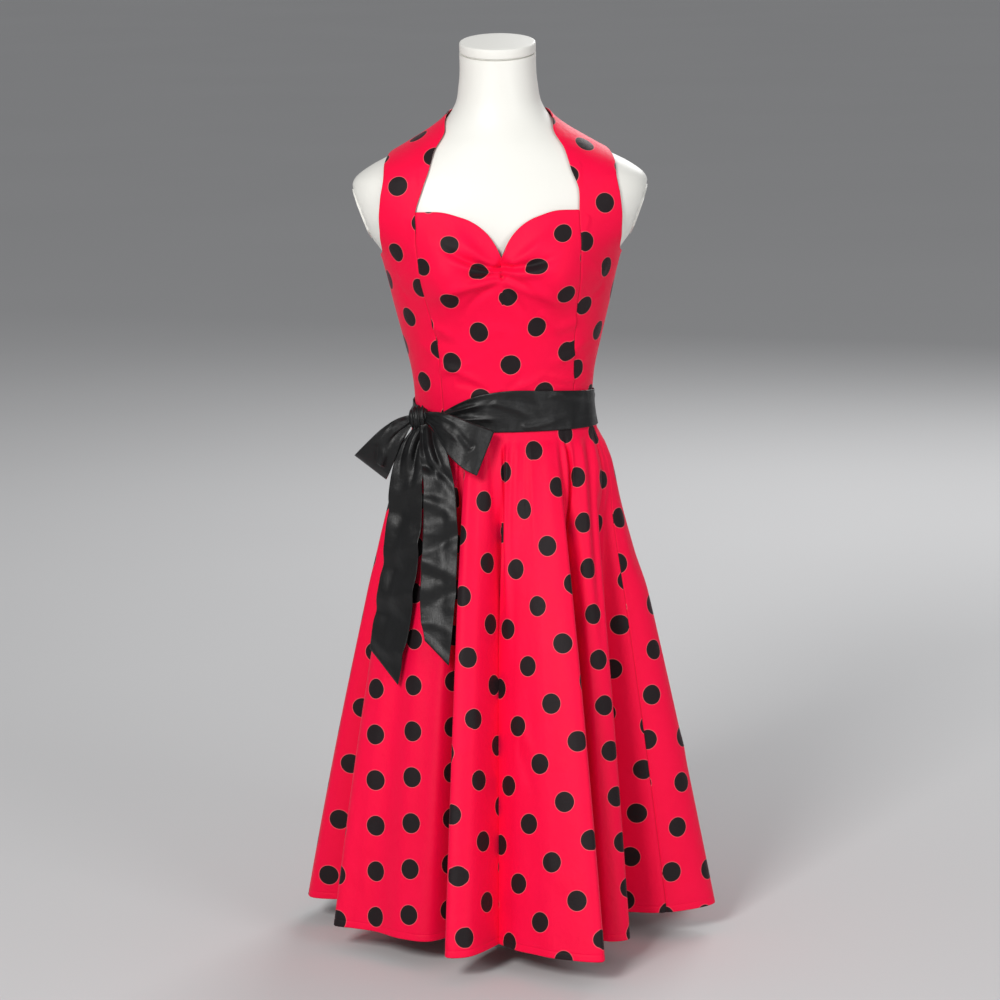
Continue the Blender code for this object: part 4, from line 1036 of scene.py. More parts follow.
def side_panel(node, side, turn, height, raised, lift=0.0):
    """A panel of the wearer's left (side 1), or the same one mirrored to the right (side -1)."""
    bodice_panel(node, side * turn[:, ::side], height[:, ::side], raised[:, ::side], lift)


rows_left, rows_right = side_front_rows("left"), side_front_rows("right")
seam_rows = ROW_STEPS * (len(SIDE) - 1) + 1

share = np.linspace(-1, 1, CENTRE_COLUMNS)[None, :]
top = read(NECKLINE, NECKLINE_COLUMNS, "height", np.abs(share))
seam = rows_left[:seam_rows, 1]
height = seam[0] + shared_rise(seam) * (top - seam[0])
turn = np.where(share > 0, share * rows_left[:seam_rows, :1], share * rows_right[:seam_rows, :1])
turn = inset_edges(turn, height)
x = skin(turn, height, True)[..., 0]
bodice_panel("front_centre", turn, height, creases(FRONT_CREASES, x, height), drawn=drawn_print(x, height))

for side_name, side, rows in (("left", 1, rows_left), ("right", -1, rows_right)):
    share = np.linspace(0, 1, SIDE_FRONT_COLUMNS)[None, :]
    turn = rows[:, :1] + (rows[:, 2:3] - rows[:, :1]) * share
    height = rows[:, 1:2] + (rows[:, 3:4] - rows[:, 1:2]) * share
    lap = np.linspace(turn[-1, 0], 180 + NAPE_LAP, LAP_ROWS + 1)[1:, None] + 0 * share
    turn = np.concatenate([turn, lap])
    height = np.concatenate([height, np.repeat(height[-1:], LAP_ROWS, axis=0)])
    spare = (len(turn) - 1) % NET_STEP
    turn, height = turn[:len(turn) - spare], height[:len(height) - spare]
    turn = inset_edges(turn, height)
    lift = (WALL + LAP_GAP) * ease((turn - LAP_TURN) / LAP_RISE) if side > 0 else 0.0
    around = np.radians(turn) * section_radius(turn, height)
    around = np.where(turn < STRAP_TURN, around, FAR_AWAY)
    raised = creases(SIDE_CREASES, around, height) * (1.0 if side > 0 else RIGHT_SIDE)
    side_panel("side_front_" + side_name, side, turn, height, raised, lift)

seam = rows_left[:ROW_STEPS * UNDERARM_ROW + 1, 3]
for side_name, side in (("left", 1), ("right", -1)):
    share = np.linspace(0, 1, BACK_COLUMNS)[None, :]
    top = BACK_TOP + (seam[-1] - BACK_TOP) * np.cos(share * math.pi / 2) ** 1.5
    height = seam[0] + shared_rise(seam) * (top - seam[0])
    turn = inset_edges(SIDE_SEAM_TURN + (180 - SIDE_SEAM_TURN) * share + 0 * height, height)
    raised = creases(BACK_CREASES, turn / 1000, height) * (1.0 if side > 0 else RIGHT_BACK)
    side_panel("back_" + side_name, side, turn, height, raised)

# %% [markdown]
# ## The skirt
# The skirt is cut as rings of a circle, sixteen centimetres from the middle at the waist and eighty-four at
# the hem. There is far more cloth at the hem than round the hips, so it falls in deep soft folds. Each fold
# is a row of a table: where its ridge starts and ends on the hem, where the trough behind it lies, and from
# where on the waist it hangs. A smooth closed curve through those points is the hem, and every line from
# the waist to the hem is nearly straight, as hanging cloth is. The curve bends over the hips because the
# spread grows faster at first. A cloth simulation would fold by chance; the table puts each fold in place.

# %% Skirt tables
SASH_MIDDLE = 0.691
FLARE_START = 0.675
FLARE_POWER = 0.80
HIP_AIR = 0.006
HIP_LEVEL = 0.06
FLAT_WAIST, FLAT_HEM = 0.16, 0.84
FOLD_COLUMNS = ("from_turn", "from_reach", "to_turn", "to_reach",
                "trough_turn", "trough_reach", "from_waist", "to_waist")
FOLDS = (
    (-192.0, 0.264, -168.0, 0.262, -161.0, 0.172, -189.0, -171.0),
    (-154.0, 0.270, -138.0, 0.262, -129.0, 0.166, -159.0, -141.0),
    (-117.0, 0.264, -93.0, 0.277, -82.0, 0.142, -124.0, -98.0),
    (-63.0, 0.268, -57.0, 0.253, -49.9, 0.240, -80.0, -68.0),
    (-38.2, 0.241, -28.0, 0.232, -12.5, 0.108, -54.0, -39.0),
    (-17.8, 0.289, -11.8, 0.281, 6.5, 0.146, -31.0, -19.0),
    (-8.0, 0.196, -1.0, 0.243, 5.5, 0.271, 1.5, 12.0),
    (10.4, 0.294, 20.6, 0.327, 25.0, 0.118, 23.0, 40.0),
    (29.3, 0.250, 36.2, 0.258, 51.0, 0.128, 56.0, 70.0),
    (66.0, 0.226, 80.5, 0.277, 97.0, 0.168, 80.0, 98.0),
    (106.0, 0.262, 120.0, 0.268, 129.0, 0.166, 113.0, 128.0),
    (137.0, 0.266, 152.0, 0.262, 160.0, 0.172, 140.0, 157.0),
)
FOLD_STEPS = 16
FOLD_POINTS = 3              # on the hem: a ridge's two ends and the trough behind it
RIGHT_SEAM = FOLD_POINTS * 2 + 2
LEFT_SEAM = FOLD_POINTS * 9
CENTRE_PLACE = FOLD_POINTS * 6
GATHER_LEVEL, GATHER_ROWS, LONG_LEVEL, LONG_ROWS = 0.30, 34, 0.968, 50
HEM_ROWS = (0.0170, 0.0145, 0.0135, 0.0125, 0.0115, 0.0100, 0.0070, 0.0040, 0.0018, 0.0)
STITCH_DEPTH, STITCH_UP, STITCH_WIDTH = 0.00045, 0.0125, 0.0011
HIP_SOFT = 0.004
BAND_TENTHS = (-0.4, -0.2)   # the two rows under the sash, above the flare
# The deep recess beside the centre panel holds cloth that doesn't show, so the print slides there.
RECESS_START, RECESS_END = 13.5, 14.75

# Smaller gathers, on a chart of the hem's turning points across and tenths of the skirt's drop down.
GATHERS = (
    (17.75, 0.0, 18.35, 3.6, 0.00, 0.15, -0.0052),
    (18.10, 0.0, 18.75, 4.2, 0.00, 0.20, 0.0052),
    (23.15, 0.0, 23.05, 2.4, 0.00, 0.15, -0.0050),
    (22.85, 0.0, 22.70, 2.8, 0.00, 0.20, 0.0046),
    (26.30, 0.0, 25.60, 2.2, 0.00, 0.14, -0.0036),
    (18.9, 0.0, 18.8, 3.4, 0.00, 0.30, 0.0024),
    (19.8, 0.0, 19.7, 2.0, 0.05, 0.24, -0.0010),
    (20.7, 0.0, 20.8, 2.6, 0.05, 0.30, 0.0014),
    (21.6, 0.0, 21.6, 3.0, 0.00, 0.22, 0.0014),
    (23.6, 0.0, 23.5, 4.5, 0.00, 0.22, 0.0034),
    (24.3, 0.0, 24.3, 4.0, 0.00, 0.22, 0.0034),
    (24.8, 0.0, 24.7, 5.2, 0.05, 0.20, -0.0030),
    (25.4, 0.0, 25.3, 3.6, 0.00, 0.25, 0.0024),
    (27.3, 0.0, 27.4, 4.6, 0.00, 0.24, 0.0030),
    (28.1, 0.0, 28.0, 3.2, 0.05, 0.26, -0.0024),
    (16.3, 0.0, 16.4, 4.0, 0.00, 0.24, 0.0026),
    (15.4, 0.0, 15.3, 5.0, 0.00, 0.28, 0.0034),
    (14.6, 0.0, 14.5, 3.6, 0.00, 0.24, -0.0026),
    (13.4, 0.0, 13.3, 5.5, 0.05, 0.30, 0.0036),
    (12.2, 0.0, 12.4, 4.4, 0.00, 0.28, -0.0026),
    (11.0, 0.0, 11.1, 3.4, 0.00, 0.30, 0.0030),
    (9.7, 0.0, 9.8, 4.6, 0.00, 0.26, 0.0030),
    (8.3, 0.0, 8.2, 3.4, 0.00, 0.26, -0.0028),
    (6.7, 0.0, 6.6, 4.4, 0.00, 0.28, 0.0032),
    (5.6, 0.0, 5.5, 3.2, 0.00, 0.22, -0.0024),
    (3.9, 0.0, 4.0, 4.8, 0.00, 0.26, 0.0032),
    (2.4, 0.0, 2.4, 3.4, 0.00, 0.24, 0.0026),
    (0.6, 0.0, 0.5, 4.2, 0.00, 0.24, 0.0030),
    (29.4, 0.0, 29.5, 4.4, 0.00, 0.26, 0.0030),
    (30.8, 0.0, 30.7, 3.6, 0.00, 0.22, 0.0028),
    (32.3, 0.0, 32.4, 4.8, 0.00, 0.26, -0.0026),
    (33.6, 0.0, 33.5, 3.8, 0.00, 0.24, 0.0030),
    (35.2, 0.0, 35.3, 4.4, 0.00, 0.24, 0.0028),
    (10.2, 8.8, 10.7, 9.4, 0.05, 0.14, 0.0010),
    (19.6, 5.6, 20.7, 6.3, 0.10, 0.18, 0.0014),
    (19.3, 6.0, 20.4, 6.9, 0.10, 0.16, -0.0012),
    (20.9, 8.1, 21.6, 8.8, 0.08, 0.16, 0.0010),
    (28.2, 6.4, 27.7, 7.2, 0.08, 0.16, 0.0012),
    (10.6, 4.6, 9.9, 5.3, 0.08, 0.16, 0.0012),
)
# Long slow swells of the panels between folds.
SWELLS = (
    (10.4, 3.0, 10.2, 10.5, 0.30, 0.75, 0.0050),
    (21.6, 4.0, 21.7, 10.5, 0.10, 0.45, 0.0015),
    (27.7, 3.0, 27.6, 10.5, 0.10, 0.45, 0.0045),
    (12.6, 3.5, 12.5, 10.5, 0.10, 0.40, -0.0035),
    (0.6, 3.0, 0.5, 10.5, 0.10, 0.40, 0.0040),
    (3.5, 3.0, 3.6, 10.5, 0.10, 0.40, -0.0040),
    (6.4, 3.0, 6.5, 10.5, 0.10, 0.40, 0.0045),
    (30.5, 3.0, 30.4, 10.5, 0.10, 0.35, -0.0040),
    (33.4, 3.0, 33.5, 10.5, 0.10, 0.40, 0.0045),
)


# %% Skirt
def hem_and_waist():
    """Hem points, as x and y, and the waist turn that each hangs from, once round from the back."""
    turns, reaches = (np.stack([column(FOLDS, FOLD_COLUMNS, place + kind)
                                for place in ("from_", "to_", "trough_")], axis=1).ravel()
                      for kind in ("turn", "reach"))
    start, finish = (column(FOLDS, FOLD_COLUMNS, name) for name in ("from_waist", "to_waist"))
    following = np.append(start[1:], start[0] + 360)
    waist = np.stack([start, finish, (finish + following) / 2], axis=1).ravel()
    corners = np.stack([reaches * np.sin(np.radians(turns)), -reaches * np.cos(np.radians(turns))], axis=1)
    hem = closed_spline(corners, FOLD_STEPS)
    places = np.arange(len(hem)) / FOLD_STEPS
    waist_turn = np.interp(places, np.arange(len(waist) + 1), np.append(waist, waist[0] + 360))
    return hem, waist_turn, places


def skirt_levels():
    """Shares of the drop: close at the top where the gathers are, and close again at the stitched hem."""
    top_rows = np.linspace(0, GATHER_LEVEL, GATHER_ROWS)
    long_rows = np.linspace(GATHER_LEVEL, LONG_LEVEL, LONG_ROWS)[1:]
    return np.concatenate([top_rows, long_rows, 1 - np.array(HEM_ROWS)])


def greater(one, other, soft):
    """The greater of two numbers, rounded where they meet: their mean plus half a softened difference."""
    return (one + other) / 2 + np.sqrt(((one - other) / 2) ** 2 + soft ** 2) - soft * 0.5


def skirt_surface():
    """The skirt's outer face, from the hem up to the waist, and each column's place on the hem."""
    hem, waist_turn, places = hem_and_waist()
    levels = skirt_levels()
    grid = [over_skin(waist_turn, height, EASE + WALL) for height in (WAIST, SASH_MIDDLE)]
    start = over_skin(waist_turn, FLARE_START, EASE + WALL)
    for level in levels:
        height = FLARE_START + (HEM - FLARE_START) * level
        plan = start[:, :2] + (hem - start[:, :2]) * level ** FLARE_POWER
        reach = np.linalg.norm(plan, axis=1)
        turn = np.degrees(np.arctan2(plan[:, 0], -plan[:, 1]))
        loose = min(level / HIP_LEVEL, 1)
        hip = section_radius(turn, max(height, TORSO_FLOOR)) + EASE + WALL + HIP_AIR * loose
        plan = plan * (greater(reach, hip, HIP_SOFT * loose) / reach)[:, None]
        grid.append(np.column_stack([plan, np.full(len(plan), height)]))
    grid = np.stack(grid)
    tenths = np.concatenate([BAND_TENTHS, levels * 10])[:, None]
    normals = -grid_normals(grid, closed=True)
    raised = np.zeros(grid.shape[:2])
    for laps in (0, 1, -1):
        shift = laps * len(FOLDS) * FOLD_POINTS
        raised = raised + creases(GATHERS + SWELLS, places[None, :] + shift, tenths)
    raised = raised * ease(tenths / 0.35 + 0.10)
    raised = raised - STITCH_DEPTH * np.exp(-((1 - tenths / 10 - STITCH_UP) / STITCH_WIDTH) ** 2)
    grid = grid + normals * raised[..., None]
    return grid[::-1], places


skirt_outer, skirt_places = skirt_surface()
hem_line = skirt_outer[0]
hem_steps = np.linalg.norm(np.roll(hem_line, -1, axis=0) - hem_line, axis=1)
hem_along = np.concatenate([[0], np.cumsum(hem_steps)[:-1]])
hem_round = float(hem_steps.sum())
print("hem round, metres:", round(hem_round, 3))

up_column = running_length(skirt_outer, 0)
column_count = len(hem_line)
skirt_inner = skirt_outer - grid_normals(skirt_outer, closed=True) * WALL


def skirt_panel(node, first, last, grain):
    """One panel between two hem columns. Its chart starts as a ring sector, whose radius is the flat hem's
    less the way up the cloth and whose angle is the way along the hem over that radius, and is relaxed."""
    chosen = np.arange(first, last + 1)
    laps, wrapped = np.divmod(chosen, column_count)
    outer, inner = skirt_outer[:, wrapped].copy(), skirt_inner[:, wrapped].copy()
    for grid in (outer, inner):
        for edge, neighbour in ((0, 1), (-1, -2)):
            grid[:, edge] += unit(outer[:, neighbour] - outer[:, edge]) * SEAM_INSET
    angle = (hem_along[wrapped] + laps * hem_round - grain) / FLAT_HEM
    radius = FLAT_HEM - up_column[:, wrapped]
    ring = np.stack([radius * np.sin(angle), -radius * np.cos(angle)], axis=-1)
    net_rows = np.unique(np.concatenate([np.arange(0, len(radius), NET_STEP), [len(radius) - 1]]))
    net_columns = np.arange(0, len(chosen), NET_STEP)
    heights_up = up_column[:, wrapped].mean(axis=1)
    net = relax(ring[net_rows][:, net_columns], outer[net_rows][:, net_columns], SKIRT_PULLS)
    chart = refined(net, heights_up[net_rows], net_columns.astype(float), heights_up,
                    np.arange(len(chosen), dtype=float))
    printed = on_print(node, chart)
    if node == "skirt_front":
        far = ease((RECESS_END - skirt_places[wrapped]) / (RECESS_END - RECESS_START))[None, :, None]
        printed = printed + (on_print("skirt_front_far", chart) - printed) * far
    piece = cloth_piece(node + "_cloth", outer, WALL, printed, cotton, inner)
    spread = float(angle[-1] - angle[0])
    area = (FLAT_HEM ** 2 - FLAT_WAIST ** 2) * spread / 2
    size = cut_size(chart, SKIRT_ALLOWANCE)
    sew_on(piece, node, round(min(area, size[0] * size[1]), 4))
    print(node, "sector, degrees:", round(math.degrees(spread), 1), "cut:", size, "area:", round(area, 3))


back_seam = FOLD_STEPS // 2
right_seam, left_seam = RIGHT_SEAM * FOLD_STEPS, LEFT_SEAM * FOLD_STEPS
front_grain = hem_along[CENTRE_PLACE * FOLD_STEPS]
back_grain = hem_along[back_seam]
skirt_panel("skirt_front", right_seam, left_seam, front_grain)
skirt_panel("skirt_back_right", back_seam, right_seam, back_grain)
skirt_panel("skirt_back_left", left_seam, back_seam + column_count, back_grain + hem_round)

# %% [markdown]
# ## The sash
# The sash is a satin band round the waist, eased over the hips' start and drawn to the bow at the wearer's
# right. Where it nears the knot its whole width is gathered into little space, so long soft folds run out
# from there. They are drawn on a chart of turn and height, as a dressmaker would pin them.

# %% Sash
SATIN_WALL = 0.0009
SASH_COLUMNS = ("turn", "top", "bottom")
SASH = (
    (-51.0, 0.7090, 0.6860),
    (-40.0, 0.7200, 0.6840),
    (-24.0, 0.7320, 0.6845),
    (-6.0, 0.7380, 0.6850),
    (40.0, 0.7370, 0.6840),
    (90.0, 0.7270, 0.6800),
    (180.0, 0.7230, 0.6770),
    (250.0, 0.7200, 0.6780),
    (282.0, 0.7130, 0.6840),
    (297.0, 0.7070, 0.6870),
)
SASH_LIFT, SASH_SLACK, SASH_CUT = 0.0012, 0.0006, 0.055
SASH_ROWS, SASH_STEPS = 33, 421
# Sash folds, on a chart of turn over 1000 and height.
SASH_CREASES = (
    (-0.051, 0.7030, -0.012, 0.7230, 0.003, 0.0026, 0.0034),
    (-0.051, 0.7000, -0.020, 0.7120, 0.002, 0.0024, -0.0022),
    (-0.051, 0.6975, -0.002, 0.7020, 0.002, 0.0030, 0.0030),
    (-0.050, 0.6930, -0.014, 0.6920, -0.001, 0.0024, -0.0018),
    (-0.044, 0.7120, -0.010, 0.7320, 0.002, 0.0024, -0.0016),
    (-0.010, 0.7240, 0.026, 0.6980, 0.004, 0.0042, 0.0020),
    (0.004, 0.7300, 0.030, 0.7160, 0.003, 0.0036, -0.0016),
    (0.016, 0.6900, 0.058, 0.7060, -0.003, 0.0046, 0.0018),
    (0.040, 0.7320, 0.086, 0.7120, 0.003, 0.0050, 0.0018),
    (0.088, 0.6880, 0.060, 0.6960, 0.002, 0.0040, -0.0014),
    (0.092, 0.7180, 0.132, 0.7040, 0.003, 0.0044, 0.0018),
    (0.112, 0.6860, 0.160, 0.6960, -0.003, 0.0044, 0.0016),
    (0.146, 0.7160, 0.190, 0.7060, 0.003, 0.0046, 0.0018),
    (0.176, 0.6850, 0.214, 0.6930, -0.002, 0.0040, -0.0014),
    (0.296, 0.6990, 0.246, 0.7100, 0.003, 0.0032, 0.0028),
    (0.296, 0.6960, 0.236, 0.6980, 0.002, 0.0028, -0.0018),
    (0.296, 0.6920, 0.250, 0.6880, -0.002, 0.0028, 0.0024),
)
turns = np.linspace(SASH[0][0], SASH[-1][0], SASH_STEPS)[None, :]
sash_top = read(SASH, SASH_COLUMNS, "top", turns)
sash_bottom = read(SASH, SASH_COLUMNS, "bottom", turns)
height = sash_bottom + (sash_top - sash_bottom) * np.linspace(0, 1, SASH_ROWS)[:, None]
raised = creases(SASH_CREASES, turns / 1000, height)
sash_out = EASE + WALL + SASH_LIFT + SATIN_WALL + np.maximum(raised, -SASH_SLACK) + SASH_SLACK
sash_outer = over_skin(turns, height, sash_out)
sash_along = running_length(sash_outer, 1)
sash_chart = np.stack([height - sash_bottom, sash_along], axis=-1)
sash = cloth_piece("sash_band_satin", sash_outer, SATIN_WALL, sash_chart, satin)
sew_on(sash, "sash_band", round(grid_area(sash_outer), 4))

# %% [markdown]
# ## The bow
# The bow is one ribbon, folded into two loops and two tails and held by a knot. A ribbon is two edges in
# space, read from a table as a smooth curve, with the satin between them. Near the knot it is pleated:
# the pleats are a wave across the width that dies away along the loop. The tails hang and buckle
# softly, with slanting dents of uneven size.

# %% Bow tables
# Each row of a ribbon is a place on its one edge (x, y, z) and the place across from it on the other.
KNOT_CENTRE = (-0.1110, -0.0720, 0.7035)
KNOT_RADII = (0.0135, 0.0110, 0.0160)
KNOT_CHART = (0.030, 0.012)  # metres of satin for each unit from pole to pole and for each radian round
KNOT_SIDES, KNOT_RINGS = 96, 64
PLEAT_HEIGHT, PLEATS, WRINKLE_HEIGHT, WRINKLES = 0.085, 15.0, 0.040, 26.0
KNOT_FADE = 0.012            # folds start this far from where a ribbon is sewn in
LOOP_STEPS, TAIL_STEPS, RIBBON_COLUMNS = 16, 24, 41
BOW_LOOP_RIGHT = (
    (-0.1180, -0.0730, 0.7080, -0.1172, -0.0730, 0.6990),
    (-0.1400, -0.0810, 0.7030, -0.1330, -0.0790, 0.6760),
    (-0.1590, -0.0850, 0.6920, -0.1440, -0.0810, 0.6500),
    (-0.1800, -0.0790, 0.6720, -0.1510, -0.0750, 0.6320),
    (-0.1960, -0.0640, 0.6540, -0.1560, -0.0600, 0.6210),
    (-0.1800, -0.0510, 0.6680, -0.1490, -0.0470, 0.6340),
    (-0.1560, -0.0480, 0.6860, -0.1390, -0.0460, 0.6560),
    (-0.1240, -0.0620, 0.7010, -0.1220, -0.0620, 0.6920),
)
BOW_LOOP_LEFT = (
    (-0.1030, -0.0780, 0.7110, -0.1035, -0.0790, 0.7010),
    (-0.0830, -0.1010, 0.7150, -0.0880, -0.1030, 0.6840),
    (-0.0600, -0.1140, 0.7090, -0.0720, -0.1220, 0.6620),
    (-0.0350, -0.1190, 0.6990, -0.0540, -0.1330, 0.6460),
    (-0.0135, -0.1130, 0.6900, -0.0366, -0.1340, 0.6370),
    (-0.0330, -0.1030, 0.6970, -0.0530, -0.1240, 0.6470),
    (-0.0580, -0.0980, 0.7040, -0.0700, -0.1130, 0.6630),
    (-0.0960, -0.0750, 0.7080, -0.0970, -0.0760, 0.6990),
)
BOW_TAIL_RIGHT = (
    (-0.1165, -0.0740, 0.6950, -0.1090, -0.0760, 0.6940),
    (-0.1360, -0.0780, 0.6680, -0.1060, -0.0880, 0.6620),
    (-0.1490, -0.0790, 0.6270, -0.1070, -0.0980, 0.6240),
    (-0.1565, -0.0780, 0.5665, -0.1110, -0.1050, 0.5650),
    (-0.1655, -0.0780, 0.5000, -0.1180, -0.1170, 0.5030),
    (-0.1730, -0.0780, 0.4590, -0.1280, -0.1210, 0.4370),
    (-0.1820, -0.0770, 0.3980, -0.1450, -0.1260, 0.3600),
)
BOW_TAIL_LEFT = (
    (-0.1085, -0.0790, 0.6960, -0.1015, -0.0800, 0.6970),
    (-0.1110, -0.0980, 0.6650, -0.0790, -0.1020, 0.6720),
    (-0.1060, -0.1130, 0.6270, -0.0690, -0.1180, 0.6350),
    (-0.1060, -0.1230, 0.5900, -0.0640, -0.1310, 0.5900),
    (-0.1090, -0.1340, 0.5350, -0.0642, -0.1450, 0.5340),
    (-0.1130, -0.1450, 0.4700, -0.0693, -0.1600, 0.4657),
    (-0.1080, -0.1560, 0.4250, -0.0775, -0.1720, 0.3950),
)
# Folds of each ribbon, on a chart of metres across its width and along it from the knot.
LOOP_RIGHT_CREASES = (
    (0.000, 0.000, 0.008, 0.060, 0.002, 0.0032, 0.0030),
    (0.005, 0.000, 0.018, 0.048, -0.002, 0.0026, -0.0028),
    (0.009, 0.000, 0.028, 0.062, 0.002, 0.0034, 0.0030),
    (0.012, 0.000, 0.036, 0.040, 0.000, 0.0026, -0.0022),
    (0.034, 0.078, 0.020, 0.052, 0.002, 0.0050, -0.0034),
    (0.012, 0.064, 0.030, 0.086, -0.002, 0.0040, 0.0022),
)
LOOP_LEFT_CREASES = (
    (0.002, 0.000, 0.010, 0.070, 0.002, 0.0036, 0.0032),
    (0.005, 0.000, 0.020, 0.058, -0.002, 0.0028, -0.0028),
    (0.008, 0.000, 0.031, 0.080, 0.002, 0.0040, 0.0034),
    (0.011, 0.000, 0.041, 0.052, 0.000, 0.0026, -0.0024),
    (0.030, 0.090, 0.012, 0.060, 0.002, 0.0050, -0.0026),
)
TAIL_RIGHT_CREASES = (
    (0.000, -0.010, 0.014, 0.090, 0.002, 0.0045, 0.0040),
    (0.006, -0.010, 0.024, 0.076, 0.000, 0.0040, -0.0036),
    (0.010, -0.010, 0.036, 0.100, -0.002, 0.0045, 0.0038),
    (0.072, 0.062, -0.010, 0.116, 0.004, 0.0110, -0.0036),
    (-0.020, 0.112, 0.066, 0.142, -0.004, 0.0120, 0.0042),
    (0.076, 0.150, -0.004, 0.178, 0.003, 0.0110, -0.0040),
    (-0.022, 0.182, 0.060, 0.208, -0.004, 0.0120, 0.0042),
    (0.078, 0.212, 0.000, 0.244, 0.004, 0.0110, -0.0038),
    (-0.018, 0.270, 0.066, 0.250, -0.003, 0.0120, 0.0038),
    (0.080, 0.284, 0.006, 0.314, 0.004, 0.0105, -0.0034),
    (0.020, 0.060, 0.030, 0.340, 0.006, 0.0110, 0.0030),
)
TAIL_LEFT_CREASES = (
    (0.002, -0.010, 0.012, 0.080, 0.002, 0.0042, 0.0040),
    (0.006, -0.010, 0.020, 0.112, -0.003, 0.0042, -0.0040),
    (0.010, -0.010, 0.034, 0.092, 0.002, 0.0045, 0.0038),
    (-0.010, 0.052, 0.052, 0.116, -0.010, 0.0068, 0.0046),
    (-0.014, 0.104, 0.050, 0.140, -0.008, 0.0090, -0.0036),
    (0.060, 0.146, -0.004, 0.184, 0.004, 0.0095, 0.0036),
    (-0.014, 0.188, 0.054, 0.216, -0.006, 0.0090, -0.0036),
    (0.060, 0.222, 0.000, 0.250, 0.004, 0.0100, 0.0034),
    (-0.012, 0.280, 0.050, 0.264, -0.004, 0.0090, -0.0030),
    (0.018, 0.080, 0.026, 0.330, -0.005, 0.0090, 0.0026),
)


# %% Bow
def ribbon(node, table, folds, steps):
    """A satin ribbon through its rows of two edges, dented by its folds along its normals."""
    edges = spline_rows(table, steps)
    share = np.linspace(0, 1, RIBBON_COLUMNS)[None, :, None]
    middle = edges[:, None, :3] + (edges[:, None, 3:] - edges[:, None, :3]) * share
    along = running_length(middle, 0).mean(axis=1)[:, None]
    width = np.linalg.norm(edges[:, 3:] - edges[:, :3], axis=1)[:, None]
    across = width * share[..., 0]
    dent = creases(folds, across, along + 0 * across)
    from_ends = np.minimum(along, along[-1] - along) if node.startswith("bow_loop") else along
    dent = dent * ease(from_ends / KNOT_FADE)
    outer = middle + grid_normals(middle) * (dent + SATIN_WALL / 2)[..., None]
    chart = np.stack([across, along + 0 * across], axis=-1)
    piece = cloth_piece(node + "_satin", outer, SATIN_WALL, chart, satin)
    size = (round(float(width.max()), 3), round(float(along[-1, 0]), 3))
    sew_on(piece, node, round(min(grid_area(outer), size[0] * size[1]), 4))
    print(node, "ribbon, metres:", size)


ribbon("bow_loop_right", BOW_LOOP_RIGHT, LOOP_RIGHT_CREASES, LOOP_STEPS)
ribbon("bow_loop_left", BOW_LOOP_LEFT, LOOP_LEFT_CREASES, LOOP_STEPS)
ribbon("bow_tail_right", BOW_TAIL_RIGHT, TAIL_RIGHT_CREASES, TAIL_STEPS)
ribbon("bow_tail_left", BOW_TAIL_LEFT, TAIL_LEFT_CREASES, TAIL_STEPS)


def knot():
    """The knot: an oval whose poles face the two loops, with pleats that run round it like the wrap.

    The radius is the oval's, times one plus a wave of the way from pole to pole that fades at the poles.
    """
    around = np.linspace(0, 2 * math.pi, KNOT_SIDES, endpoint=False)[None, :]
    from_pole = np.linspace(0, math.pi, KNOT_RINGS + 2)[1:-1, None]
    x = np.cos(from_pole)
    drift = 0.35 * np.sin(around) + 0.25 * np.sin(2 * around + 1.0)
    wave = PLEAT_HEIGHT * np.cos(PLEATS * x + drift * 3)
    wave = wave + WRINKLE_HEIGHT * np.cos(WRINKLES * x + 2 * around)
    reach = np.sin(from_pole) ** 0.75 * (1 + wave * np.sin(from_pole))
    rings = np.stack([x + 0 * around, -reach * np.cos(around), reach * np.sin(around)], axis=-1)
    tips = np.array([[1.0, 0.0, 0.0], [-1.0, 0.0, 0.0]])
    rings, tips = (points * np.array(KNOT_RADII) + np.array(KNOT_CENTRE) for points in (rings, tips))
    made = tipped_rings("bow_knot_satin", rings, tips, satin)
    chart = np.stack(np.broadcast_arrays(x, around), axis=-1).reshape(-1, 2)
    set_chart(made.data, np.concatenate([chart, [[1, 0], [-1, 0]]]) * np.array(KNOT_CHART))
    stand_for(made, "bow_knot", "satin")


knot()

# %% [markdown]
# ## Fastenings
# A concealed zip closes the centre back, and a covered button holds the halter at the nape. The slider and
# its pull are hard parts that come from the CAD model and only get their steel finish. The tape is woven
# cloth behind the seam. It follows the back of the bodice and skirt a little way in, and bows slightly.

# %% Zip tape
ZIP_TAPE_WIDTH, ZIP_TAPE = 0.020, 0.0008
ZIP_DROP = 0.002
ZIP_CLEARANCE = 0.0009
ZIP_END_LEVEL = 0.17
TAPE_BOW, TAPE_OVER = 0.0006, 0.005
TAPE_ROWS, TAPE_COLUMNS, BODICE_READINGS = 160, 9, 60
PLAIN_PLACE = 0.039          # halfway between two dots of the print, so the tape is plain

skirt_seam = skirt_outer[:, back_seam]
seam_zip_floor = FLARE_START + (HEM - FLARE_START) * ZIP_END_LEVEL
skirt_part = skirt_seam[(skirt_seam[:, 2] >= seam_zip_floor) & (skirt_seam[:, 2] < WAIST)]
bodice_heights = np.linspace(WAIST, BACK_TOP - ZIP_DROP, BODICE_READINGS)
bodice_depth = over_skin(180.0, bodice_heights, EASE)[:, 1]
zip_height = np.concatenate([skirt_part[:, 2], bodice_heights])
zip_depth = np.concatenate([skirt_part[:, 1] - WALL, bodice_depth]) - ZIP_CLEARANCE
even_height = np.linspace(zip_height[0], zip_height[-1], TAPE_ROWS)
even_depth = np.interp(even_height, zip_height, zip_depth)
across = np.linspace(1, -1, TAPE_COLUMNS)[None, :] * ZIP_TAPE_WIDTH / 2
across, even_height = np.broadcast_arrays(across, even_height[:, None])
curve = TAPE_BOW * (across / (ZIP_TAPE_WIDTH / 2)) ** 2
tape_outer = np.stack([across, even_depth[:, None] - curve, even_height], axis=-1)
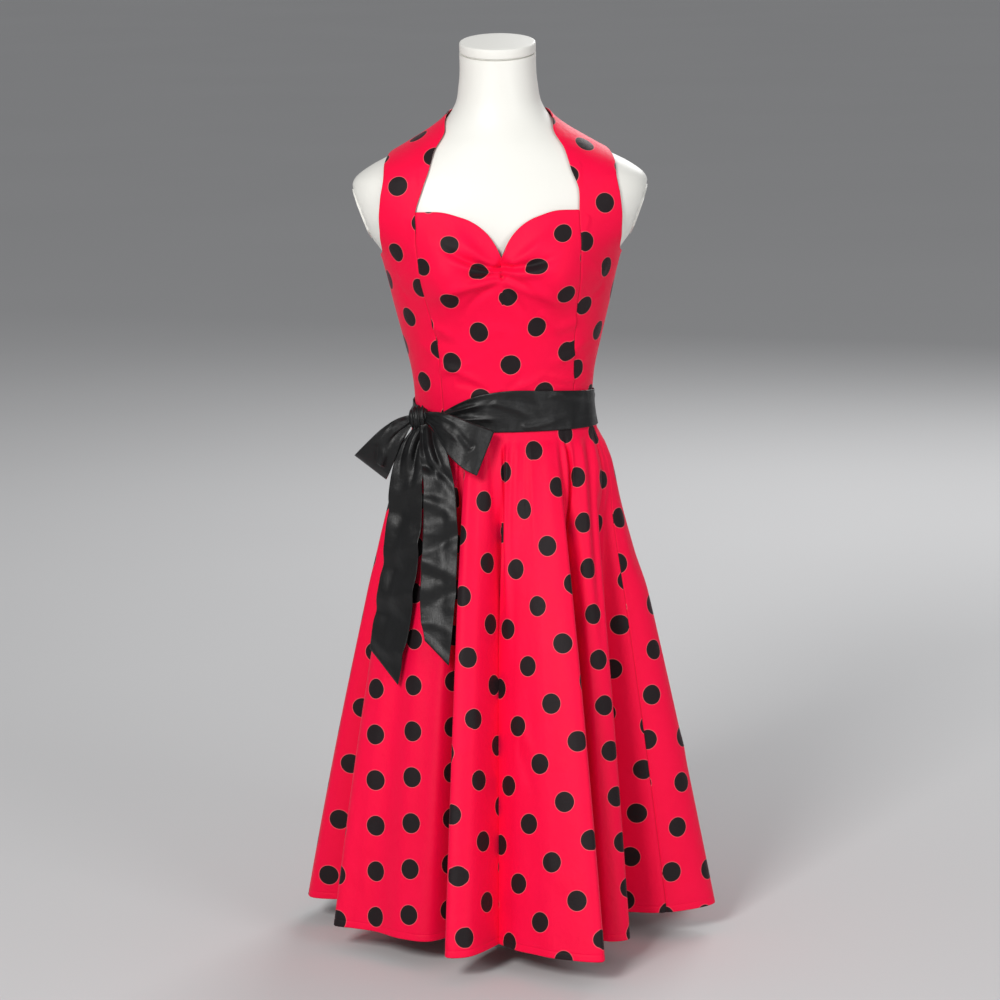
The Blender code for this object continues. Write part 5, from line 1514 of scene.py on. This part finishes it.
tape_chart = np.stack([across + PLAIN_PLACE, 0 * across], axis=-1)
tape = cloth_piece("zip_tape_woven", tape_outer, ZIP_TAPE, tape_chart, cotton)
stand_for(tape, "zip_tape", "cotton")

# %% [markdown]
# ## The nape button
# The button is domed, covered in the dress cloth and three and a half millimetres high. It is turned like
# the form's parts, on an axis that leans with the nape, and its cloth is charted from straight behind.

# %% Nape button
BUTTON_RADIUS, BUTTON_HEIGHT, BUTTON_RIM, BUTTON_ROUND, BUTTON_SIDES = 0.0070, 0.0035, 0.0012, 0.0016, 64
BUTTON_GAP = 0.0006          # between the straps and the button's shank
BUTTON_SINK = 0.0004
BUTTON_PRINT = 0.045         # the middle of the button's cloth, halfway up the print's repeat
nape_height = (column(STRAP, STRAP_COLUMNS, "inner_height")[-1]
               + column(STRAP, STRAP_COLUMNS, "outer_height")[-1]) / 2
button_axis = skin_normal(180.0, nape_height)
button_place = over_skin(180.0, nape_height, EASE + 2 * WALL + BUTTON_GAP) + button_axis * BUTTON_SINK
button_profile = ((0, 0), (BUTTON_RADIUS - BUTTON_RIM, 0), (BUTTON_RADIUS, BUTTON_RIM),
                  (BUTTON_RADIUS * 0.86, BUTTON_HEIGHT * 0.8), (BUTTON_RADIUS * 0.45, BUTTON_HEIGHT),
                  (0, BUTTON_HEIGHT))
button = turned("nape_button_covered", rounded_profile(button_profile, BUTTON_ROUND), cotton, BUTTON_SIDES,
                (turn_about_x(-math.acos(float(button_axis[2]))), button_place))
spots = np.zeros(len(button.data.vertices) * 3, dtype=np.float32)
button.data.vertices.foreach_get("co", spots)
set_chart(button.data, spots.reshape(-1, 3)[:, [0, 2]] + np.array([0.0, BUTTON_PRINT - nape_height]))
stand_for(button, "nape_button", "cotton")
for node in ("zip_slider", "zip_pull"):
    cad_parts[node].material_slots[0].material = steel
print("button across, metres:", 2 * BUTTON_RADIUS)

# %% [markdown]
# ## Floor and light
# The floor is one very wide pale disc, so a camera that looks down a little sees no horizon. The whole
# sky is a soft white lamp. A large soft key lamp above and to the left of the camera gives the folds their
# light and dark sides, a weaker one on the right fills the shade, and one above the back does the same for
# the views from behind.

# %% Floor and light
FLOOR_RADIUS, FLOOR_SIDES = 60.0, 96
around = np.linspace(0, 2 * math.pi, FLOOR_SIDES, endpoint=False)
floor_mesh = bpy.data.meshes.new("studio_floor")
floor_edge = FLOOR_RADIUS * np.stack([np.cos(around), np.sin(around), 0 * around], axis=1)
floor_mesh.from_pydata(floor_edge.tolist(), [], [list(range(len(around)))])
paper_constants = {"Roughness": 0.9, "Specular IOR Level": 0.1}
paper, paper_shader, paper_solid, _ = new_finish("studio_paper", paper_constants)
connect(paper_shader,
        Base_Color=paper_solid.noise(0.8, 2.0).blend((0.560, 0.560, 0.565, 1.0), (0.590, 0.590, 0.595, 1.0)))
floor_mesh.materials.append(paper)
floor = put_in_scene("studio_floor", floor_mesh)


def soft_lamp(name, place_at, aim, wide, tall, watts, colour=(1.0, 1.0, 1.0)):
    """A rectangular lamp at a place, turned to face a point."""
    data = bpy.data.lights.new(name, "AREA")
    data.shape = "RECTANGLE"
    data.size, data.size_y, data.energy, data.color = wide, tall, watts, colour
    away = unit(np.array(place_at, dtype=float) - np.array(aim, dtype=float))
    sideways = unit(np.cross([0.0, 0.0, 1.0], away))
    put_in_scene(name, data).matrix_world = facing(sideways, np.cross(away, sideways), away, place_at)


soft_lamp("key", (-1.8, -4.0, 2.9), (0.0, 0.0, 0.70), 1.3, 1.3, 170.0, (1.0, 0.99, 0.975))
soft_lamp("fill", (2.6, -3.4, 1.6), (0.0, 0.0, 0.60), 1.6, 2.2, 56.0)
soft_lamp("back", (1.4, 3.6, 2.9), (0.0, 0.0, 0.70), 2.0, 2.0, 90.0)
world = bpy.data.worlds.new("studio_air")
world.use_nodes = True
world.node_tree.nodes["Background"].inputs["Color"].default_value = (0.97, 0.98, 1.0, 1.0)
world.node_tree.nodes["Background"].inputs["Strength"].default_value = 0.33
bpy.context.scene.world = world
